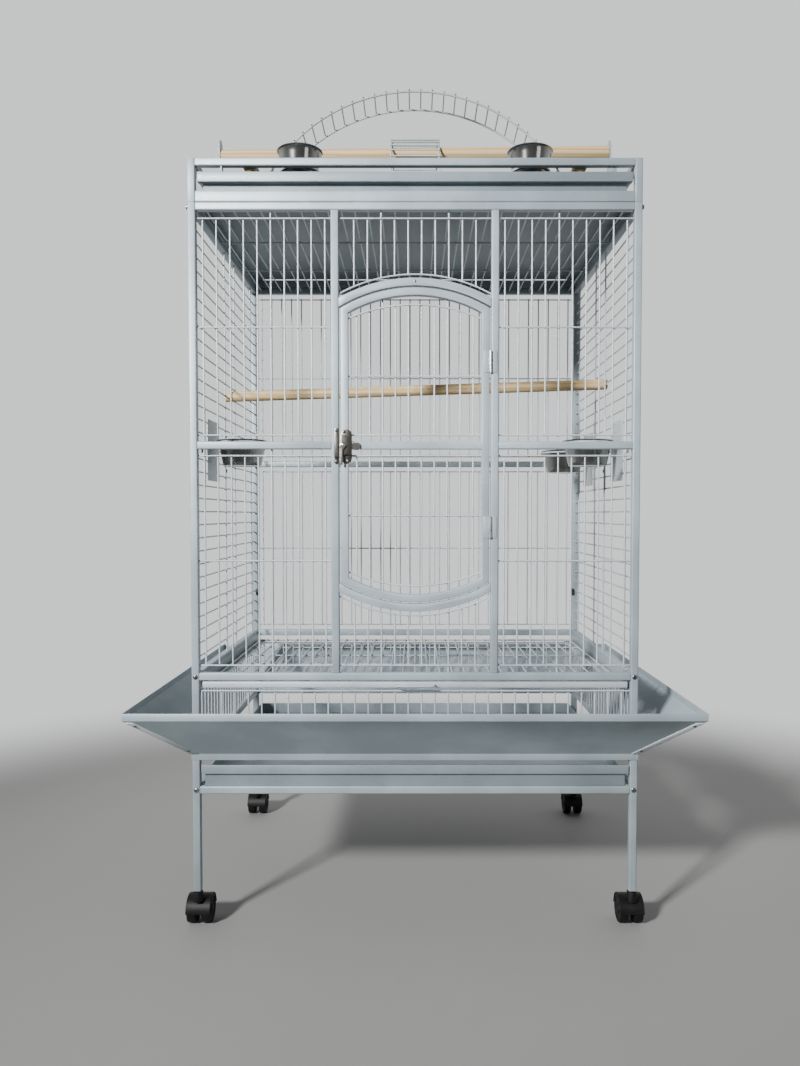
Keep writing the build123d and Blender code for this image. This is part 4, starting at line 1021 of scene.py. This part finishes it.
bolt = turned([(5.4, 0), (5.4, 0.8), (4.4, 1.0), (4.2, 3.0), (3.7, 3.5), (0, 3.5)], (0, 0, 0), 24)
for side in (-1, 1):
    for y in (-post_y, post_y):
        turn = Matrix.Rotation(side * pi / 2, 4, "Y")
        pieces.append(twin(bolt, (side * width / 2, y, roof_wire), turn))
pieces.append(head(0, 1177, front, 2.4, 0.7))
fresh()
bpy.data.objects.remove(bolt)
bpy.data.objects.remove(sample)
done(joined(pieces), "frame_screws", shade_darkened_zinc, "cage", "screws")
done(softened("panel_clips", 0.6), "back_panel_clips", dark_clip, "cage", "panel_clips")

# Casters: hooded forks, and twin wheels with a rim, a dished face and a hub cap
corners = {
    "front_left": (-post_x, -post_y),
    "front_right": (post_x, -post_y),
    "rear_left": (-post_x, post_y),
    "rear_right": (post_x, post_y),
}
wheel = [
    (0, 5.0),
    (20.5, 5.0),
    (24.0, 5.3),
    (25.0, 6.6),
    (25.0, 20.0),
    (24.4, 21.4),
    (22.8, 22.0),
    (20.4, 21.8),
    (19.4, 20.6),
    (10.0, 19.6),
    (9.2, 20.4),
    (8.4, 21.6),
    (6.0, 22.0),
    (0, 22.0),
]
half, axle_back, axle_z = 22.5, 20, 25
hood_edge = [(26, -half), (27.2, -half), (28, 0.8 - half), (28, half - 0.8)]
hood_edge += [(27.2, half), (26, half), (26, -half)]
web = [(7, -4.7), (26.2, -4.7), (26.2, 4.7), (7, 4.7), (7, -4.7)]
hub_ring = [(3.1, -4.7), (7.4, -4.7), (8, -4.1), (8, 4.1), (7.4, 4.7), (3.1, 4.7), (3.1, -4.7)]
collar = [(0, 48), (9, 48), (9, 65.2), (8.6, 66.2), (7.2, 66.5), (7.0, 67.7)]
collar += [(5, 67.7), (5, 92), (4.2, 93.5), (0, 93.5)]
for name, (x, y) in corners.items():
    body = f"caster_fork_{name}"
    hub = (0, axle_back, axle_z)
    hood = [turned(shape, hub, 56, "X") for shape in (hood_edge, web)]
    pieces = [upper_half(piece, axle_z) for piece in hood]
    pieces += [turned(hub_ring, hub, 32, "X"), turned(collar, (0, 0, 0), 32)]
    fork = joined(pieces)
    fork.data.transform(Matrix.Translation(Vector((x, y, 0)) * MM))
    done(fork, f"fork_{name}", black, body, body, angle=40)
    body = f"caster_wheels_{name}"
    right = turned(wheel, (0, 0, 0), 48, "X")
    left = mirrored(right, "X")
    axle = rod((-6, 0, 0), (6, 0, 0), 3.0, 20, 0.05)
    pair = joined([right, left, axle])
    pair.data.transform(Matrix.Translation(Vector((x, y + axle_back, axle_z)) * MM))
    done(pair, f"wheels_{name}", tread, body, body, angle=40)

# Floor, light and camera. The floor fades away beyond a round patch under and before the cage
sky_front, sky_back = 0.15, 1.02
floor_near, floor_far = 1.45, 2.35
fresh()
bpy.ops.mesh.primitive_plane_add(size=60, location=(0, 0, 0))
floor = made()
floor.name = "studio_floor"
paint = Paint("pale_floor", Specular_IOR_Level=0.3)
patch = paint.noise(1.1, 4.0, 0.6)
grit = paint.span(paint.noise(310.0, 3.0, 0.7), 0.6, 0.78)
reach = paint.node("ShaderNodeVectorMath", dict(operation="DISTANCE"), {0: paint.place, 1: (0, -0.5, 0)}, 1)
ground = paint.mix(patch, tone(128, 128, 126), tone(137, 137, 135))
paint.feed(
    Base_Color=paint.mix(grit * 0.25, ground, tone(160, 160, 158)),
    Roughness=0.6 + 0.2 * patch,
    Alpha=paint.span(reach, floor_near, floor_far, 1.0, 0.0),
)
floor.data.materials.append(paint.material)

# The studio is brightest behind the cage and overhead, and darker behind the camera
world = bpy.data.worlds.new("studio")
bpy.context.scene.world = world
world.use_nodes = True
sky = world.node_tree
way = sky.nodes.new("ShaderNodeTexCoord")
split = sky.nodes.new("ShaderNodeSeparateXYZ")
fade = sky.nodes.new("ShaderNodeMapRange")
fade.interpolation_type = "SMOOTHSTEP"
for socket, value in (("From Min", -0.7), ("From Max", 0.45), ("To Min", sky_front), ("To Max", sky_back)):
    fade.inputs[socket].default_value = value
sky.links.new(way.outputs["Generated"], split.inputs["Vector"])
sky.links.new(split.outputs["Y"], fade.inputs["Value"])
sky.links.new(fade.outputs["Result"], sky.nodes["Background"].inputs["Strength"])
sky.nodes["Background"].inputs["Color"].default_value = (*tone(250, 252, 252), 1)


def panel_light(name, place, target, size, power, beam):
    """A soft square light that faces a point, with its beam kept off the floor in front."""
    light = bpy.data.lights.new(name, "AREA")
    light.shape = "RECTANGLE"
    light.size, light.size_y = size
    light.energy = power
    light.spread = radians(beam)
    lamp = bpy.data.objects.new(name, light)
    bpy.context.scene.collection.objects.link(lamp)
    lamp.location = place
    lamp.rotation_euler = (Vector(target) - Vector(place)).to_track_quat("-Z", "Y").to_euler()


panel_light("key", (-2.3, -3.4, 2.5), (0, -0.2, 0.95), (0.5, 0.5), 48, 50)
panel_light("fill", (2.6, -3.2, 1.3), (0, -0.2, 0.9), (1.2, 1.2), 2, 70)

# The photograph's height in pixels, and the focal length in those pixels
photo_height, focal = 1066, 835.5
lens = bpy.data.cameras.new("camera")
lens.sensor_width = 36
lens.lens = focal * 36 / photo_height
lens.sensor_fit = "AUTO"
lens.clip_start = 0.02
camera = bpy.data.objects.new("camera", lens)
bpy.context.scene.collection.objects.link(camera)
camera.location = (0, -1.802, 0.760)
camera.rotation_euler = (radians(88.0), 0, 0)
lens.shift_x = -15 / photo_height
lens.shift_y = 10.5 / photo_height
bpy.context.scene.camera = camera
